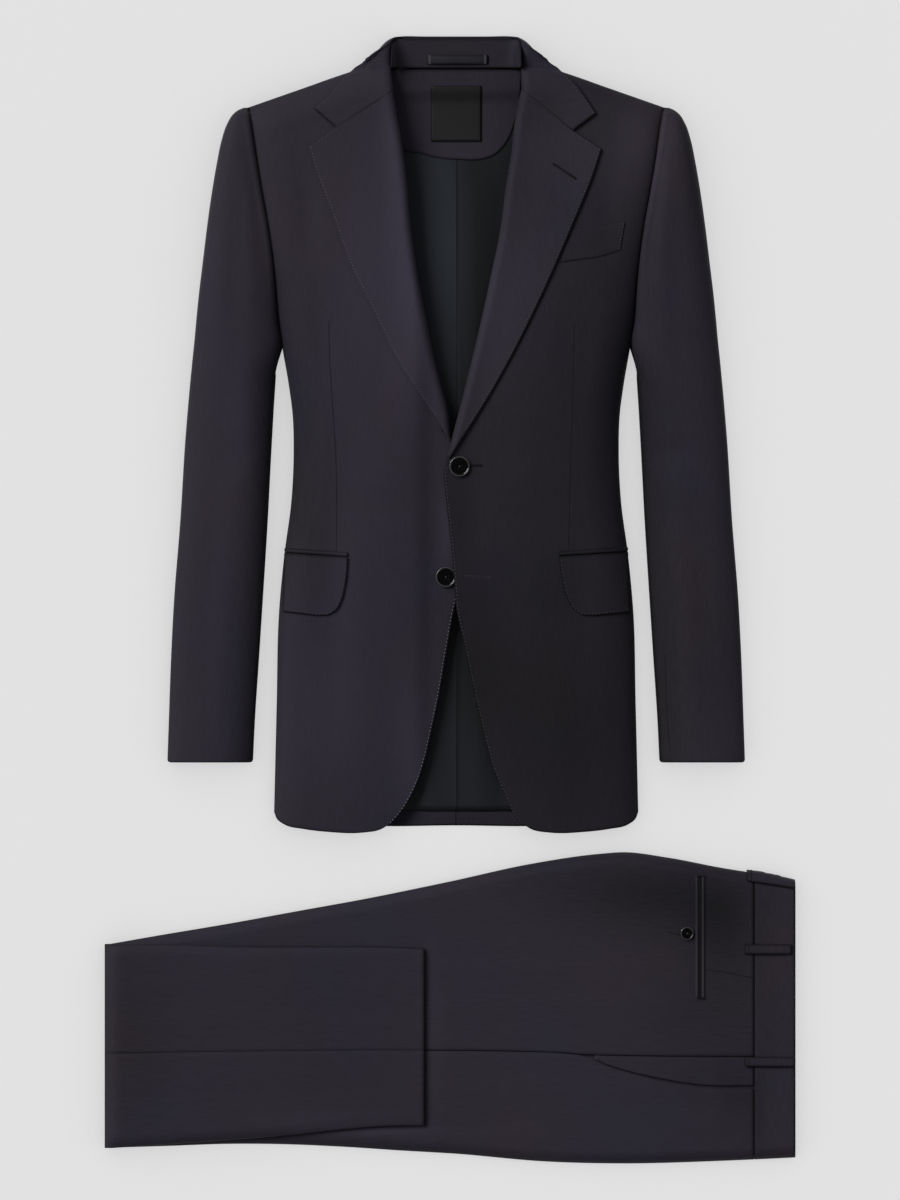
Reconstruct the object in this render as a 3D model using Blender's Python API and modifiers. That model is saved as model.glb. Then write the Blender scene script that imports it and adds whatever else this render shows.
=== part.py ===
"""A two-button suit laid out on a flat surface: the jacket above, the folded trousers below.

Every cloth piece is a wall: an open surface worked out from its cut, then given its thickness.
Tables are in millimetres. A jacket table runs across from the jacket's centre line (plus is the
wearer's left) and down the board; a trouser table runs along and down the board. The board is the
surface the suit lies on, 900 by 1200, and the part's origin is the board's middle.
"""

import math

import bmesh
import bpy
import numpy as np

MM = 0.001
BOARD_WIDTH = 900.0
BOARD_HEIGHT = 1200.0
JACKET_CENTRE = 456.2

# Cloth thicknesses and the room between pieces
WALL = 2.0
LAPEL_WALL = 2.4
LINING_WALL = 1.0
FLAP_WALL = 1.6
TRIM_WALL = 1.0
GAP = 0.3
SEAM_HALF_GAP = 0.4

# How high the laid jacket stands: the side seam or armhole seam, and the crown between them
JACKET_HEIGHTS = (
    # down, seam height, crown height
    (60.0, 26.0, 34.0),
    (110.0, 28.0, 37.0),
    (160.0, 33.0, 42.0),
    (240.0, 33.0, 43.0),
    (300.0, 25.0, 42.0),
    (345.0, 14.0, 40.0),
    (440.0, 13.0, 34.0),
    (600.0, 12.0, 30.0),
    (760.0, 10.0, 25.0),
    (840.0, 9.0, 20.0),
)
SIDE_ROUNDING = 36.0
SHOULDER_ROUNDING = 34.0
SHOULDER_EDGE = 17.0
CENTRE_DIP = 0.30
CENTRE_DIP_REACH = 70.0
UNDER_ROUNDING = 22.0
LAP_DROP = 3.4

# The half outline of the jacket's body: armhole seam, then side seam, from shoulder to hem
SIDE_LINE = (
    # across, down
    (207.0, 107.0),
    (202.0, 142.0),
    (196.5, 177.0),
    (190.5, 210.0),
    (185.0, 245.0),
    (181.0, 280.0),
    (178.5, 315.0),
    (174.8, 344.0),
    (168.0, 384.0),
    (164.0, 415.0),
    (163.0, 450.0),
    (165.5, 503.0),
    (172.0, 552.0),
    (177.5, 610.0),
    (180.0, 704.0),
    (183.0, 812.0),
)
SHOULDER_LINE = (
    # across, down
    (86.0, 66.0),
    (103.0, 70.6),
    (155.0, 88.5),
    (208.0, 107.0),
)
UNDERARM = 344.0


def board_point(along, down, height):
    """World metres of points given in board millimetres."""
    x = (np.asarray(along, float) - BOARD_WIDTH / 2) * MM
    y = (BOARD_HEIGHT / 2 - np.asarray(down, float)) * MM
    return np.stack(np.broadcast_arrays(x, y, np.asarray(height, float) * MM), axis=-1)


def smooth_curve(points, share):
    """Points at shares 0 to 1 of the length of a smooth curve through a table's points."""
    points = np.asarray(points, float)
    steps = np.linalg.norm(np.diff(points, axis=0), axis=1)
    reach = np.concatenate([[0.0], np.cumsum(steps)])
    slopes = np.gradient(points, reach, axis=0)
    place = np.asarray(share, float) * reach[-1]
    piece = np.clip(np.searchsorted(reach, place, side="right") - 1, 0, len(steps) - 1)
    span = steps[piece][..., None]
    t = (place - reach[piece])[..., None] / span
    start_weight = 2 * t**3 - 3 * t**2 + 1
    start_slope = t**3 - 2 * t**2 + t
    end_weight = 3 * t**2 - 2 * t**3
    end_slope = t**3 - t**2
    return (
        start_weight * points[piece]
        + start_slope * span * slopes[piece]
        + end_weight * points[piece + 1]
        + end_slope * span * slopes[piece + 1]
    )


def cornered_curve(legs, share):
    """Points along several smooth tables joined end to end, with a sample on every joint."""
    lengths = [np.linalg.norm(np.diff(np.asarray(leg, float), axis=0), axis=1).sum() for leg in legs]
    joints = np.concatenate([[0.0], np.cumsum(lengths)]) / sum(lengths)
    share = np.array(share, float)
    for joint in joints[1:-1]:
        share[np.argmin(np.abs(share - joint))] = joint
    result = np.zeros((len(share), 2))
    for leg, low, high in zip(legs, joints[:-1], joints[1:]):
        inside = (share >= low - 1e-9) & (share <= high + 1e-9)
        result[inside] = smooth_curve(leg, np.clip((share[inside] - low) / (high - low), 0, 1))
    return result


def value_down(table, down, column=1, key=0):
    """A table's column read off at a distance down, smoothly."""
    line = smooth_curve([(row[key], row[column]) for row in table], np.linspace(0, 1, 300))
    return np.interp(down, line[:, 0], line[:, 1])


def step_up(value):
    """A smooth step from 0 to 1."""
    value = np.clip(value, 0, 1)
    return value * value * (3 - 2 * value)


def rounding(distance, width):
    """A quarter round: 0 and upright at an edge, 1 and level from a width inside it."""
    share = np.clip(distance / width, 0, 1)
    return np.sqrt(np.clip(1 - (1 - share) ** 2, 0, 1))


def even(count):
    """Evenly spaced shares."""
    return np.linspace(0, 1, count + 1)


def crowd_end(count):
    """Shares that crowd towards 1, where a wall turns down."""
    return np.sin(np.linspace(0, math.pi / 2, count + 1))


def patch(start, end, top, bottom, across_shares, down_shares):
    """Plan points of a cloth piece between its four edges, as a blend of the edges."""
    u = np.asarray(across_shares)[None, :, None]
    v = np.asarray(down_shares)[:, None, None]
    sides = (1 - u) * start[:, None, :] + u * end[:, None, :]
    ends = (1 - v) * top[None, :, :] + v * bottom[None, :, :]
    corners = (
        (1 - u) * (1 - v) * top[0]
        + u * (1 - v) * top[-1]
        + (1 - u) * v * bottom[0]
        + u * v * bottom[-1]
    )
    return sides + ends - corners


def material(name, colour, roughness, metallic=0.0):
    """A plain finish for one piece."""
    finish = bpy.data.materials.new(name)
    finish.use_nodes = True
    shader = finish.node_tree.nodes["Principled BSDF"]
    shader.inputs["Base Color"].default_value = (*colour, 1.0)
    shader.inputs["Roughness"].default_value = roughness
    shader.inputs["Metallic"].default_value = metallic
    return finish


WOOL = ((0.028, 0.025, 0.034), 0.85)
LINING = ((0.014, 0.016, 0.021), 0.45)
BUTTON = ((0.008, 0.008, 0.010), 0.18)


def add_object(name, mesh, finish):
    """Put a mesh in the suit's collection under a piece's name."""
    piece = bpy.data.objects.new(name, mesh)
    mesh.materials.append(material(name, *finish))
    SUIT.objects.link(piece)
    return piece


def wall(name, grid, thickness, finish=WOOL, flip=False):
    """A cloth piece: a grid of points on its outer face, thickened inwards."""
    rows, columns = grid.shape[:2]
    index = np.arange(rows * columns).reshape(rows, columns)
    quads = np.stack([index[:-1, :-1], index[1:, :-1], index[1:, 1:], index[:-1, 1:]], axis=-1)
    quads = quads.reshape(-1, 4)
    if flip:
        quads = quads[:, ::-1]
    mesh = bpy.data.meshes.new(name)
    mesh.from_pydata(grid.reshape(-1, 3).tolist(), [], quads.tolist())
    mesh.shade_smooth()
    piece = add_object(name, mesh, finish)
    solid = piece.modifiers.new("thickness", "SOLIDIFY")
    solid.thickness = thickness * MM
    solid.offset = -1.0
    return piece


def ring_solid(name, rings, finish=WOOL):
    """A closed solid lofted through rings of points; each end is capped in level strips."""
    around = rings.shape[1]
    shape = bmesh.new()
    points = [[shape.verts.new(point) for point in ring] for ring in rings]
    for near, far in zip(points[:-1], points[1:]):
        for k in range(around):
            after = (k + 1) % around
            shape.faces.new((near[k], near[after], far[after], far[k]))
    for ring in (points[0], points[-1]):
        for k in range(around // 2 - 1):
            shape.faces.new((ring[k], ring[k + 1], ring[around - 2 - k], ring[around - 1 - k]))
    bmesh.ops.recalc_face_normals(shape, faces=shape.faces)
    mesh = bpy.data.meshes.new(name)
    shape.to_mesh(mesh)
    shape.free()
    mesh.shade_smooth()
    return add_object(name, mesh, finish)


# The jacket's body

def shoulder_depth(across, down):
    """How far a point lies below the shoulder line."""
    line = np.array(SHOULDER_LINE)
    return down - np.interp(np.abs(across), line[:, 0], line[:, 1])


def body_top(across, down):
    """Height of the jacket's upper face: crowned, round at the sides and over the shoulder."""
    side = value_down(SIDE_LINE, down, column=0, key=1)
    seam = value_down(JACKET_HEIGHTS, down, column=1)
    crown = value_down(JACKET_HEIGHTS, down, column=2)
    crown = crown * (1 - CENTRE_DIP * np.exp(-((across / CENTRE_DIP_REACH) ** 2)))
    height = seam + (crown - seam) * rounding(side - np.abs(across), SIDE_ROUNDING)
    over = rounding(shoulder_depth(across, down), SHOULDER_ROUNDING)
    return SHOULDER_EDGE + (height - SHOULDER_EDGE) * over


def right_top(across, down):
    """The wearer's right front lies under the other along the front edge."""
    lap = step_up((across + 42.0) / 20.0)
    return body_top(across, down) - LAP_DROP * lap


LOWER_BUTTON = (-10.3, 577.0)
BUTTON_BULGE = 4.6
BULGE_REACH = 42.0
BULGE_ACROSS = -3.0


def left_top(across, down):
    """The wearer's left front passes over the lower button's edge."""
    squared = (across - BULGE_ACROSS) ** 2 + (down - LOWER_BUTTON[1]) ** 2
    return body_top(across, down) + BUTTON_BULGE * np.exp(-squared / BULGE_REACH**2)


def on_face(face, across, down, out, centre=JACKET_CENTRE):
    """World points that lie a distance out from a face, square to it."""
    reach = 0.5
    slope_x = (face(across + reach, down) - face(across - reach, down)) / (2 * reach)
    slope_y = (face(across, down + reach) - face(across, down - reach)) / (2 * reach)
    normal = np.stack([-slope_x, -slope_y, np.ones_like(slope_x)], axis=-1)
    normal /= np.linalg.norm(normal, axis=-1, keepdims=True)
    shift = normal * np.broadcast_to(np.asarray(out, float), slope_x.shape)[..., None]
    return board_point(
        centre + across + shift[..., 0],
        down + shift[..., 1],
        face(across, down) + shift[..., 2],
    )


# Front panels: the inner edge runs down the roll line, then the front edge and the cutaway

ROLL_TUCK = 5.0
ROLL_LINES = {
    "right": (
        # across, down
        (-63.4, 89.4),
        (-59.6, 113.0),
        (-54.5, 142.0),
        (-49.4, 180.0),
        (-44.9, 230.0),
        (-37.6, 280.0),
        (-30.5, 316.0),
        (-21.6, 359.0),
        (-14.4, 387.0),
        (-8.4, 410.0),
        (-6.4, 426.0),
    ),
    "left": (
        # across, down
        (65.4, 87.6),
        (62.4, 102.0),
        (59.0, 119.0),
        (55.2, 153.0),
        (49.4, 189.0),
        (45.0, 224.0),
        (33.8, 280.0),
        (24.9, 321.0),
        (14.2, 366.0),
        (3.4, 409.0),
        (-4.0, 437.0),
    ),
}
FRONT_BELOW_ROLL = {
    "right": ((-14.0, 430.0),),
    "left": ((3.0, 431.0), (-8.8, 458.0), (-12.6, 474.5)),
}
FRONT_EDGES = {
    "right": (
        # across, down
        (4.0, 450.0),
        (17.0, 474.0),
        (13.0, 530.0),
        (6.0, 577.0),
        (-1.8, 609.0),
        (-9.4, 650.0),
        (-16.0, 689.0),
        (-24.5, 730.0),
        (-33.0, 765.0),
        (-42.0, 789.0),
        (-52.7, 808.0),
        (-66.0, 823.8),
    ),
    "left": (
        # across, down
        (-10.8, 494.0),
        (-5.7, 540.0),
        (-1.8, 583.0),
        (-0.2, 607.0),
        (7.2, 641.0),
        (15.8, 683.0),
        (26.7, 730.0),
        (37.5, 769.0),
        (48.4, 795.0),
        (59.0, 816.0),
        (67.0, 824.0),
    ),
}


def front_edge(name, side):
    """A front's inner edge in two legs: from the neck inside the roll line, then the front edge."""
    tucked = [(across + side * ROLL_TUCK, down) for across, down in ROLL_LINES[name]][:-1]
    edge = FRONT_EDGES[name]
    neck = [(side * 86.0, 66.0), (side * 76.0, 76.0)]
    return [*neck, *tucked, *FRONT_BELOW_ROLL[name]], [FRONT_BELOW_ROLL[name][-1], *edge]


FRONT_HEM = (
    # across, down
    (66.5, 823.9),
    (75.0, 829.0),
    (95.0, 832.8),
    (128.0, 832.0),
    (156.0, 828.0),
    (175.0, 822.5),
    (182.0, 816.0),
    (182.7, 812.0),
)


def front_panel(name, side, face):
    """One front: its plan between four edges, its heights from the jacket's upper face."""
    columns = crowd_end(11)
    rows = even(20)
    inner = cornered_curve(front_edge(name, side), rows)
    outer = smooth_curve(SIDE_LINE, rows) * (side, 1)
    top = smooth_curve(SHOULDER_LINE, columns) * (side, 1)
    bottom = smooth_curve(FRONT_HEM, columns) * (side, 1)
    inner[0] = top[0]
    inner[-1] = bottom[0]
    outer[0] = top[-1]
    outer[-1] = bottom[-1]
    plan = patch(inner, outer, top, bottom, columns, rows)
    across = plan[..., 0] - side * SEAM_HALF_GAP * columns[None, :]
    down = plan[..., 1] + SEAM_HALF_GAP * (1 - rows[:, None])
    height = face(across, down) + SEAM_HALF_GAP
    grid = board_point(JACKET_CENTRE + across, down, height)
    wall(f"front_{name}", grid, WALL, flip=side < 0)


# Back panels: flat where they rest, turned up to the side and shoulder seams

NECK_LIFT = 3.8
BACK_TOP = (
    # across, down
    (0.0, 68.4),
    (40.0, 68.4),
    (66.0, 68.6),
    (86.0, 66.0),
)
BACK_HEM_DOWN = 825.7


def back_outer(across, down):
    """Height of the back's outer face above the surface it lies on."""
    side = value_down(SIDE_LINE, down, column=0, key=1)
    seam = value_down(JACKET_HEIGHTS, down, column=1)
    below_arm = step_up((down - UNDERARM + 6.0) / 34.0)
    turned = seam * below_arm * (1 - rounding(side - np.abs(across), UNDER_ROUNDING))
    beside_neck = step_up((np.abs(across) - 64.0) / 22.0)
    shoulder = (SHOULDER_EDGE - 2 * SEAM_HALF_GAP) * beside_neck * (
        1 - rounding(shoulder_depth(across, down), UNDER_ROUNDING)
    )
    over_collar = NECK_LIFT * step_up((104.0 - down) / 16.0) * step_up((116.0 - np.abs(across)) / 16.0)
    return np.maximum(np.maximum(turned, shoulder), over_collar)


def back_panel(name, side):
    """One half of the back, to the centre back seam."""
    columns = crowd_end(10)
    rows = np.concatenate([np.linspace(0, 0.05, 4)[:-1], np.linspace(0.05, 1, 14)])
    inner = smooth_curve(((0.0, 68.4), (0.0, BACK_HEM_DOWN)), rows)
    outer = smooth_curve(SIDE_LINE, rows)
    top = cornered_curve((BACK_TOP, SHOULDER_LINE), columns)
    bottom = smooth_curve(((0.0, BACK_HEM_DOWN), (100.0, 825.0), (182.7, 812.0)), columns)
    plan = patch(inner, outer, top, bottom, columns, rows)
    across = SEAM_HALF_GAP / 2 + plan[..., 0] * (1 - 2 * SEAM_HALF_GAP / 208.0)
    down = plan[..., 1] + SEAM_HALF_GAP * (1 - rows[:, None])
    height = np.maximum(back_outer(across, down) - SEAM_HALF_GAP * columns[None, :] ** 8, 0.0)
    grid = board_point(JACKET_CENTRE + side * across, down, height)
    wall(f"back_{name}", grid, WALL, flip=side > 0)


# Inside the neck and the hem: lining, neck facing, label and hanger loop

LINING_SIDE = 140.0
LINING_TOP = 170.0
LINING_HEM = 811.0
FACING_EDGE = (
    # across, down
    (-61.0, 112.0),
    (-57.5, 134.0),
    (-48.0, 150.0),
    (-25.0, 156.2),
    (0.3, 158.8),
    (28.4, 158.6),
    (46.2, 149.5),
    (56.0, 134.0),
    (61.0, 112.0),
)
NECK_HALF = 61.0
NECK_TOP = 69.4
LABEL_CORNERS = ((-25.2, 85.5), (25.2, 141.0))
LABEL_LIFT = 0.2


def inside_height(across, down, layers):
    """Height of a layer's upper face on the inside of the back."""
    return back_outer(across, down) + WALL + layers


def inner_pieces():
    """The lining lies on the back, the self-cloth facing on the lining, the label on the facing."""
    plan = board_patch((-LINING_SIDE, LINING_TOP), (LINING_SIDE, LINING_HEM), 6, 8)
    height = inside_height(plan[..., 0], plan[..., 1], GAP + LINING_WALL)
    grid = board_point(JACKET_CENTRE + plan[..., 0], plan[..., 1], height)
    wall("back_lining", grid, LINING_WALL, LINING)

    columns = even(10)
    rows = even(6)
    top = smooth_curve(((-NECK_HALF, NECK_TOP), (NECK_HALF, NECK_TOP)), columns)
    bottom = smooth_curve(FACING_EDGE, columns)
    start = smooth_curve((top[0], FACING_EDGE[0]), rows)
    end = smooth_curve((top[-1], FACING_EDGE[-1]), rows)
    plan = patch(start, end, top, bottom, columns, rows)
    height = inside_height(plan[..., 0], plan[..., 1], 2 * GAP + 2 * LINING_WALL)
    grid = board_point(JACKET_CENTRE + plan[..., 0], plan[..., 1], height)
    wall("neck_facing", grid, LINING_WALL)

    label = board_patch(*LABEL_CORNERS, 4, 4)
    layers = 3 * GAP + 2 * LINING_WALL + TRIM_WALL + LABEL_LIFT
    height = inside_height(label[..., 0], label[..., 1], layers)
    grid = board_point(JACKET_CENTRE + label[..., 0], label[..., 1], height)
    wall("neck_label", grid, TRIM_WALL, LINING)


def board_patch(low, high, columns, rows):
    """Plan points of a rectangle."""
    across, down = np.meshgrid(
        np.linspace(low[0], high[0], columns + 1), np.linspace(low[1], high[1], rows + 1)
    )
    return np.stack([across, down], axis=-1)


# The collar: a strip from notch to notch, its back part lying under the neck

COLLAR_WALL = 2.6
COLLAR_STATIONS = (
    # fold across, down, height, middle across, down, height, edge across, down, height
    (0.0, 35.9, 3.2, 0.0, 56.0, 0.0, 0.0, 84.0, 0.0),
    (30.0, 35.9, 3.2, 31.0, 56.0, 0.0, 32.0, 84.0, 0.0),
    (52.0, 36.1, 5.5, 57.0, 54.0, 0.2, 64.0, 82.0, 0.0),
    (62.5, 38.4, 15.0, 71.0, 47.5, 5.0, 86.0, 72.0, 0.0),
    (66.0, 45.0, 28.0, 80.5, 52.0, 19.0, 100.0, 62.5, 10.0),
    (66.6, 56.0, 37.0, 86.0, 58.5, 33.0, 107.5, 66.5, 23.0),
    (65.8, 70.0, 41.0, 88.0, 76.0, 40.0, 116.0, 81.0, 30.0),
    (64.3, 86.0, 42.0, 90.0, 98.0, 42.0, 140.5, 112.0, 42.0),
)
NOTCHES = {
    # gorge start, gorge middle, notch, collar tip
    "right": ((-63.0, 87.0), (-84.0, 102.0), (-120.8, 126.6), (-142.6, 108.8)),
    "left": ((65.2, 85.5), (93.8, 109.6), (116.6, 129.4), (139.6, 113.6)),
}
COLLAR_EDGE_TOWARDS_TIP = (127.5, 95.5, 38.0)
COLLAR_CLEAR = 1.4
COLLAR_PUFF = 2.0
PUFF_REACH = 16.0
FOLD_DROP = 5.0
FOLD_WIDTH = 8.0
LAID_HEIGHT = 42.0


def collar_half(name, side):
    """World points of half the collar, from the centre back to one notch."""
    gorge_start, gorge_middle, notch, tip = NOTCHES[name]
    columns = even(7)
    rows = even(14)
    stations = np.array(COLLAR_STATIONS).reshape(-1, 3, 3) * (side, 1, 1)
    fold = stations[:, 0].copy()
    middle = stations[:-1, 1]
    edge = stations[:, 2].copy()
    fold[-1, :2] = gorge_start
    edge[-1, :2] = tip
    edge = np.insert(edge, -1, np.array(COLLAR_EDGE_TOWARDS_TIP) * (side, 1, 1), axis=0)
    start = smooth_curve(fold, rows)
    end = smooth_curve(edge, rows)
    gorge = cornered_curve(((gorge_start, gorge_middle, notch), (notch, tip)), columns)
    middle = smooth_curve(np.vstack([middle, [*gorge[len(gorge) // 2], LAID_HEIGHT]]), rows)
    u = columns[None, :, None]
    bend = np.array([start, middle, end])[:, :, None, :]
    grid = bend[0] * (1 - u) * (1 - 2 * u) + bend[1] * 4 * u * (1 - u) + bend[2] * u * (2 * u - 1)
    toward_notch = (np.clip((rows - 0.72) / 0.28, 0, 1) ** 2)[:, None, None]
    grid[..., :2] += toward_notch * (gorge - grid[-1, :, :2])[None]
    across = grid[..., 0]
    down = grid[..., 1]
    height = np.maximum(grid[..., 2], 0.0)
    from_fold = np.abs(across - start[:, :1])
    puff = COLLAR_PUFF * np.exp(-((from_fold / PUFF_REACH) ** 2))
    laid = body_top(across, down) + COLLAR_WALL + COLLAR_CLEAR + puff
    laid = laid - FOLD_DROP * (1 - rounding(from_fold, FOLD_WIDTH))
    front = step_up((rows - 0.52) / 0.10)[:, None]
    height = height * (1 - front) + laid * front
    return board_point(JACKET_CENTRE + across, down, height)


STAND_TOP = 8.5
STAND_HALF = 61.6
STAND_WALL = 1.4
STAND_NARROWING = 8.0
LOOP_SLACK = 1.2
STAND_RISE = (
    # down, rise of the stand's ends beside the neck
    (37.0, 0.0),
    (40.0, 5.0),
    (47.0, 16.0),
    (57.0, 24.0),
    (67.6, 27.0),
)


def collar():
    """The whole collar strip, its stand inside the neck, and the hanger loop on the stand."""
    strip = np.concatenate([collar_half("right", -1)[::-1], collar_half("left", 1)[1:]])
    wall("collar", strip, COLLAR_WALL)

    stand = board_patch((-1.0, 38.5), (1.0, 67.6), 10, 4)
    narrowed = STAND_HALF - STAND_NARROWING * (1 - even(4)[:, None]) ** 2
    across = narrowed * np.sin(stand[..., 0] * math.pi / 2)
    rise = value_down(STAND_RISE, stand[..., 1]) * (np.abs(across) / STAND_HALF) ** 10
    grid = board_point(JACKET_CENTRE + across, stand[..., 1], STAND_TOP + rise)
    wall("collar_stand", grid, STAND_WALL)

    loop = board_patch((-29.2, 54.7), (31.8, 63.8), 8, 2)
    slack = LOOP_SLACK * np.sin(np.linspace(0, math.pi, 9))[None, :] + 0 * loop[..., 0]
    height = STAND_TOP + GAP + TRIM_WALL + slack
    grid = board_point(JACKET_CENTRE + loop[..., 0], loop[..., 1], height)
    wall("hanger_loop", grid, TRIM_WALL, LINING)


# The lapels: the fronts turned back along the roll line

LAPELS = {
    "right": {
        "gorge": ((-63.4, 89.4), (-84.2, 103.2), (-120.6, 127.6), (-147.2, 147.0)),
        "edge": (
            # across, down
            (-147.2, 147.0),
            (-143.0, 163.0),
            (-125.2, 211.0),
            (-103.2, 271.0),
            (-83.2, 310.0),
            (-59.2, 359.0),
            (-34.2, 398.0),
            (-14.0, 426.0),
        ),
    },
    "left": {
        "gorge": ((65.4, 87.6), (94.0, 110.9), (116.8, 130.8), (145.0, 149.5)),
        "edge": (
            # across, down
            (145.0, 149.5),
            (136.8, 175.0),
            (114.4, 229.6),
            (100.1, 263.0),
            (73.6, 320.0),
            (48.1, 369.0),
            (15.8, 423.0),
            (6.0, 437.0),
        ),
    },
}
ROLL_WIDTH = 9.0
LAPEL_CLEAR = 1.2
ROLL_PUFF = 2.4
ROLL_DROP = 1.0


def lapel(name, side, face):
    """One lapel: it rolls up out of the front edge and lies on the front."""
    cut = LAPELS[name]
    columns = 1 - crowd_end(7)[::-1]
    rows = even(16)
    start = smooth_curve(ROLL_LINES[name], rows)
    end = smooth_curve(cut["edge"], rows)
    top = cornered_curve((cut["gorge"][:3], cut["gorge"][2:]), columns)
    bottom = smooth_curve((start[-1], end[-1]), columns)
    plan = patch(start, end, top, bottom, columns, rows)
    from_roll = np.linalg.norm(plan - plan[:, :1], axis=-1)
    lift = LAPEL_WALL + LAPEL_CLEAR + ROLL_PUFF * np.exp(-((from_roll / PUFF_REACH) ** 2))
    height = face(plan[..., 0], plan[..., 1])
    roll = rounding(from_roll, ROLL_WIDTH)
    height = height - ROLL_DROP + (lift + ROLL_DROP) * roll
    grid = board_point(JACKET_CENTRE + plan[..., 0], plan[..., 1], height)
    wall(f"lapel_{name}", grid, LAPEL_WALL, flip=side < 0)


# Sleeves: an upper and an under piece round a flattened tube

SLEEVE_RINGS = (
    # down, inner across, outer across, inner height, outer height, crown height
    (109.5, 208.0, 213.0, 19.0, 18.0, 22.0),
    (114.0, 207.6, 220.0, 26.0, 17.0, 29.0),
    (124.0, 205.8, 228.0, 30.5, 17.0, 35.0),
    (140.0, 202.8, 234.0, 32.5, 17.0, 39.0),
    (161.0, 199.4, 239.0, 33.2, 16.0, 41.0),
    (190.0, 194.4, 244.0, 33.4, 16.0, 42.0),
    (225.0, 188.2, 249.0, 33.2, 15.0, 42.0),
    (262.0, 183.2, 253.5, 31.0, 15.0, 41.0),
    (295.0, 180.4, 257.5, 26.0, 14.0, 40.0),
    (320.0, 178.6, 260.0, 20.5, 14.0, 39.0),
    (344.0, 175.4, 262.2, 14.0, 14.0, 38.0),
    (357.0, 178.2, 263.6, 13.5, 14.0, 37.5),
    (390.0, 180.5, 266.8, 13.0, 13.0, 36.0),
    (440.0, 183.6, 271.0, 13.0, 13.0, 34.0),
    (520.0, 188.4, 276.0, 12.5, 12.5, 32.0),
    (600.0, 193.4, 281.0, 12.0, 12.0, 30.0),
    (660.0, 197.3, 285.5, 11.5, 11.5, 28.0),
    (722.0, 201.4, 287.6, 11.0, 11.0, 26.5),
    (762.5, 203.3, 289.0, 11.0, 11.0, 26.0),
)
FOREARM_SEAM_INSET = 8.0
SLEEVE_FULLNESS = 0.55
UNDER_TURN = 0.7 * UNDER_ROUNDING


def sleeve_levels(count):
    """The ring table read off at even steps, close together over the sleeve head."""
    table = np.array(SLEEVE_RINGS)
    share = np.linspace(0, 1, count + 1)
    down = table[0, 0] + (table[-1, 0] - table[0, 0]) * share**1.55
    columns = [value_down(SLEEVE_RINGS, down, column=c) for c in range(1, table.shape[1])]
    return down, *columns


def sleeve(name, side):
    """The upper sleeve goes over the crown, the under sleeve round the inner edge and beneath."""
    down, inner, outer, inner_height, outer_height, crown = [
        values[:, None] for values in sleeve_levels(17)
    ]
    width = outer - inner
    open_ring = step_up((down - UNDERARM) / 34.0)
    seam_angle = np.arccos(1 - 2 * FOREARM_SEAM_INSET * open_ring / width)

    def over(angle):
        x = inner + width * (1 - np.cos(angle)) / 2
        base = inner_height + (outer_height - inner_height) * (1 - np.cos(angle)) / 2
        return x, base + (crown - base) * np.clip(np.sin(angle), 0, 1) ** SLEEVE_FULLNESS

    turn = seam_angle + (math.pi - seam_angle) * even(11)[None, :]
    x, z = over(turn)
    z = z + SEAM_HALF_GAP
    level = down + 0 * x
    grid = board_point(JACKET_CENTRE + side * x, level, z)
    wall(f"sleeve_{name}_top", grid, WALL, flip=side < 0)

    back_turn = (seam_angle - 0.035) * (1 - even(2))[None, :]
    top_x, top_z = over(back_turn)
    quarter = np.linspace(0, math.pi / 2, 5)[None, 1:]
    inner_x = inner + UNDER_TURN * (1 - np.cos(quarter))
    inner_z = inner_height * (1 - np.sin(quarter))
    flat_x = inner + width * np.linspace(0.4, 0.6, 2)[None, :]
    outer_x = outer - UNDER_TURN * (1 - np.sin(quarter))
    outer_z = (outer_height - 2 * SEAM_HALF_GAP) * (1 - np.cos(quarter))
    ring_x = np.concatenate([top_x, inner_x, flat_x, outer_x], axis=1)
    ring_z = np.concatenate([top_z, inner_z, flat_x * 0, outer_z], axis=1)
    laid = np.linspace(0, 0.66, top_x.shape[1] + inner_x.shape[1] + 2)[None, :]
    laid_x = np.concatenate([inner + (width - UNDER_TURN) * laid, outer_x], axis=1)
    narrow = np.clip(width / (2 * UNDER_ROUNDING), 0, 1)
    level_x = inner + width * np.linspace(0, 1, laid_x.shape[1])[None, :]
    laid_x = laid_x * narrow + level_x * (1 - narrow)
    laid_z = np.concatenate([laid * 0 + 0 * inner, outer_z], axis=1)
    x = laid_x * (1 - open_ring) + ring_x * open_ring
    z = laid_z * (1 - open_ring) + ring_z * open_ring
    grid = board_point(JACKET_CENTRE + side * x, down + 0 * x, z)
    wall(f"sleeve_{name}_under", grid, WALL, flip=side > 0)


# Pockets on the jacket's fronts

FLAPS = {
    "right": {
        "top": ((-170.2, 553.2), (-108.4, 557.5)),
        "end": ((-108.4, 557.5), (-109.2, 574.0), (-111.2, 587.0), (-114.5, 600.0)),
        "corner": ((-114.5, 600.0), (-120.2, 610.0), (-128.6, 614.6), (-139.5, 615.2)),
        "foot": ((-139.5, 615.2), (-172.2, 611.5)),
        "outer": ((-170.2, 553.2), (-172.2, 611.5)),
    },
    "left": {
        "top": ((170.2, 552.2), (102.6, 556.5)),
        "end": ((102.6, 556.5), (104.5, 572.0), (108.3, 591.0), (111.6, 600.5)),
        "corner": ((111.6, 600.5), (117.5, 609.4), (126.0, 614.6), (138.0, 615.4)),
        "foot": ((138.0, 615.4), (172.2, 612.0)),
        "outer": ((170.2, 552.2), (172.2, 612.0)),
    },
}


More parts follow.
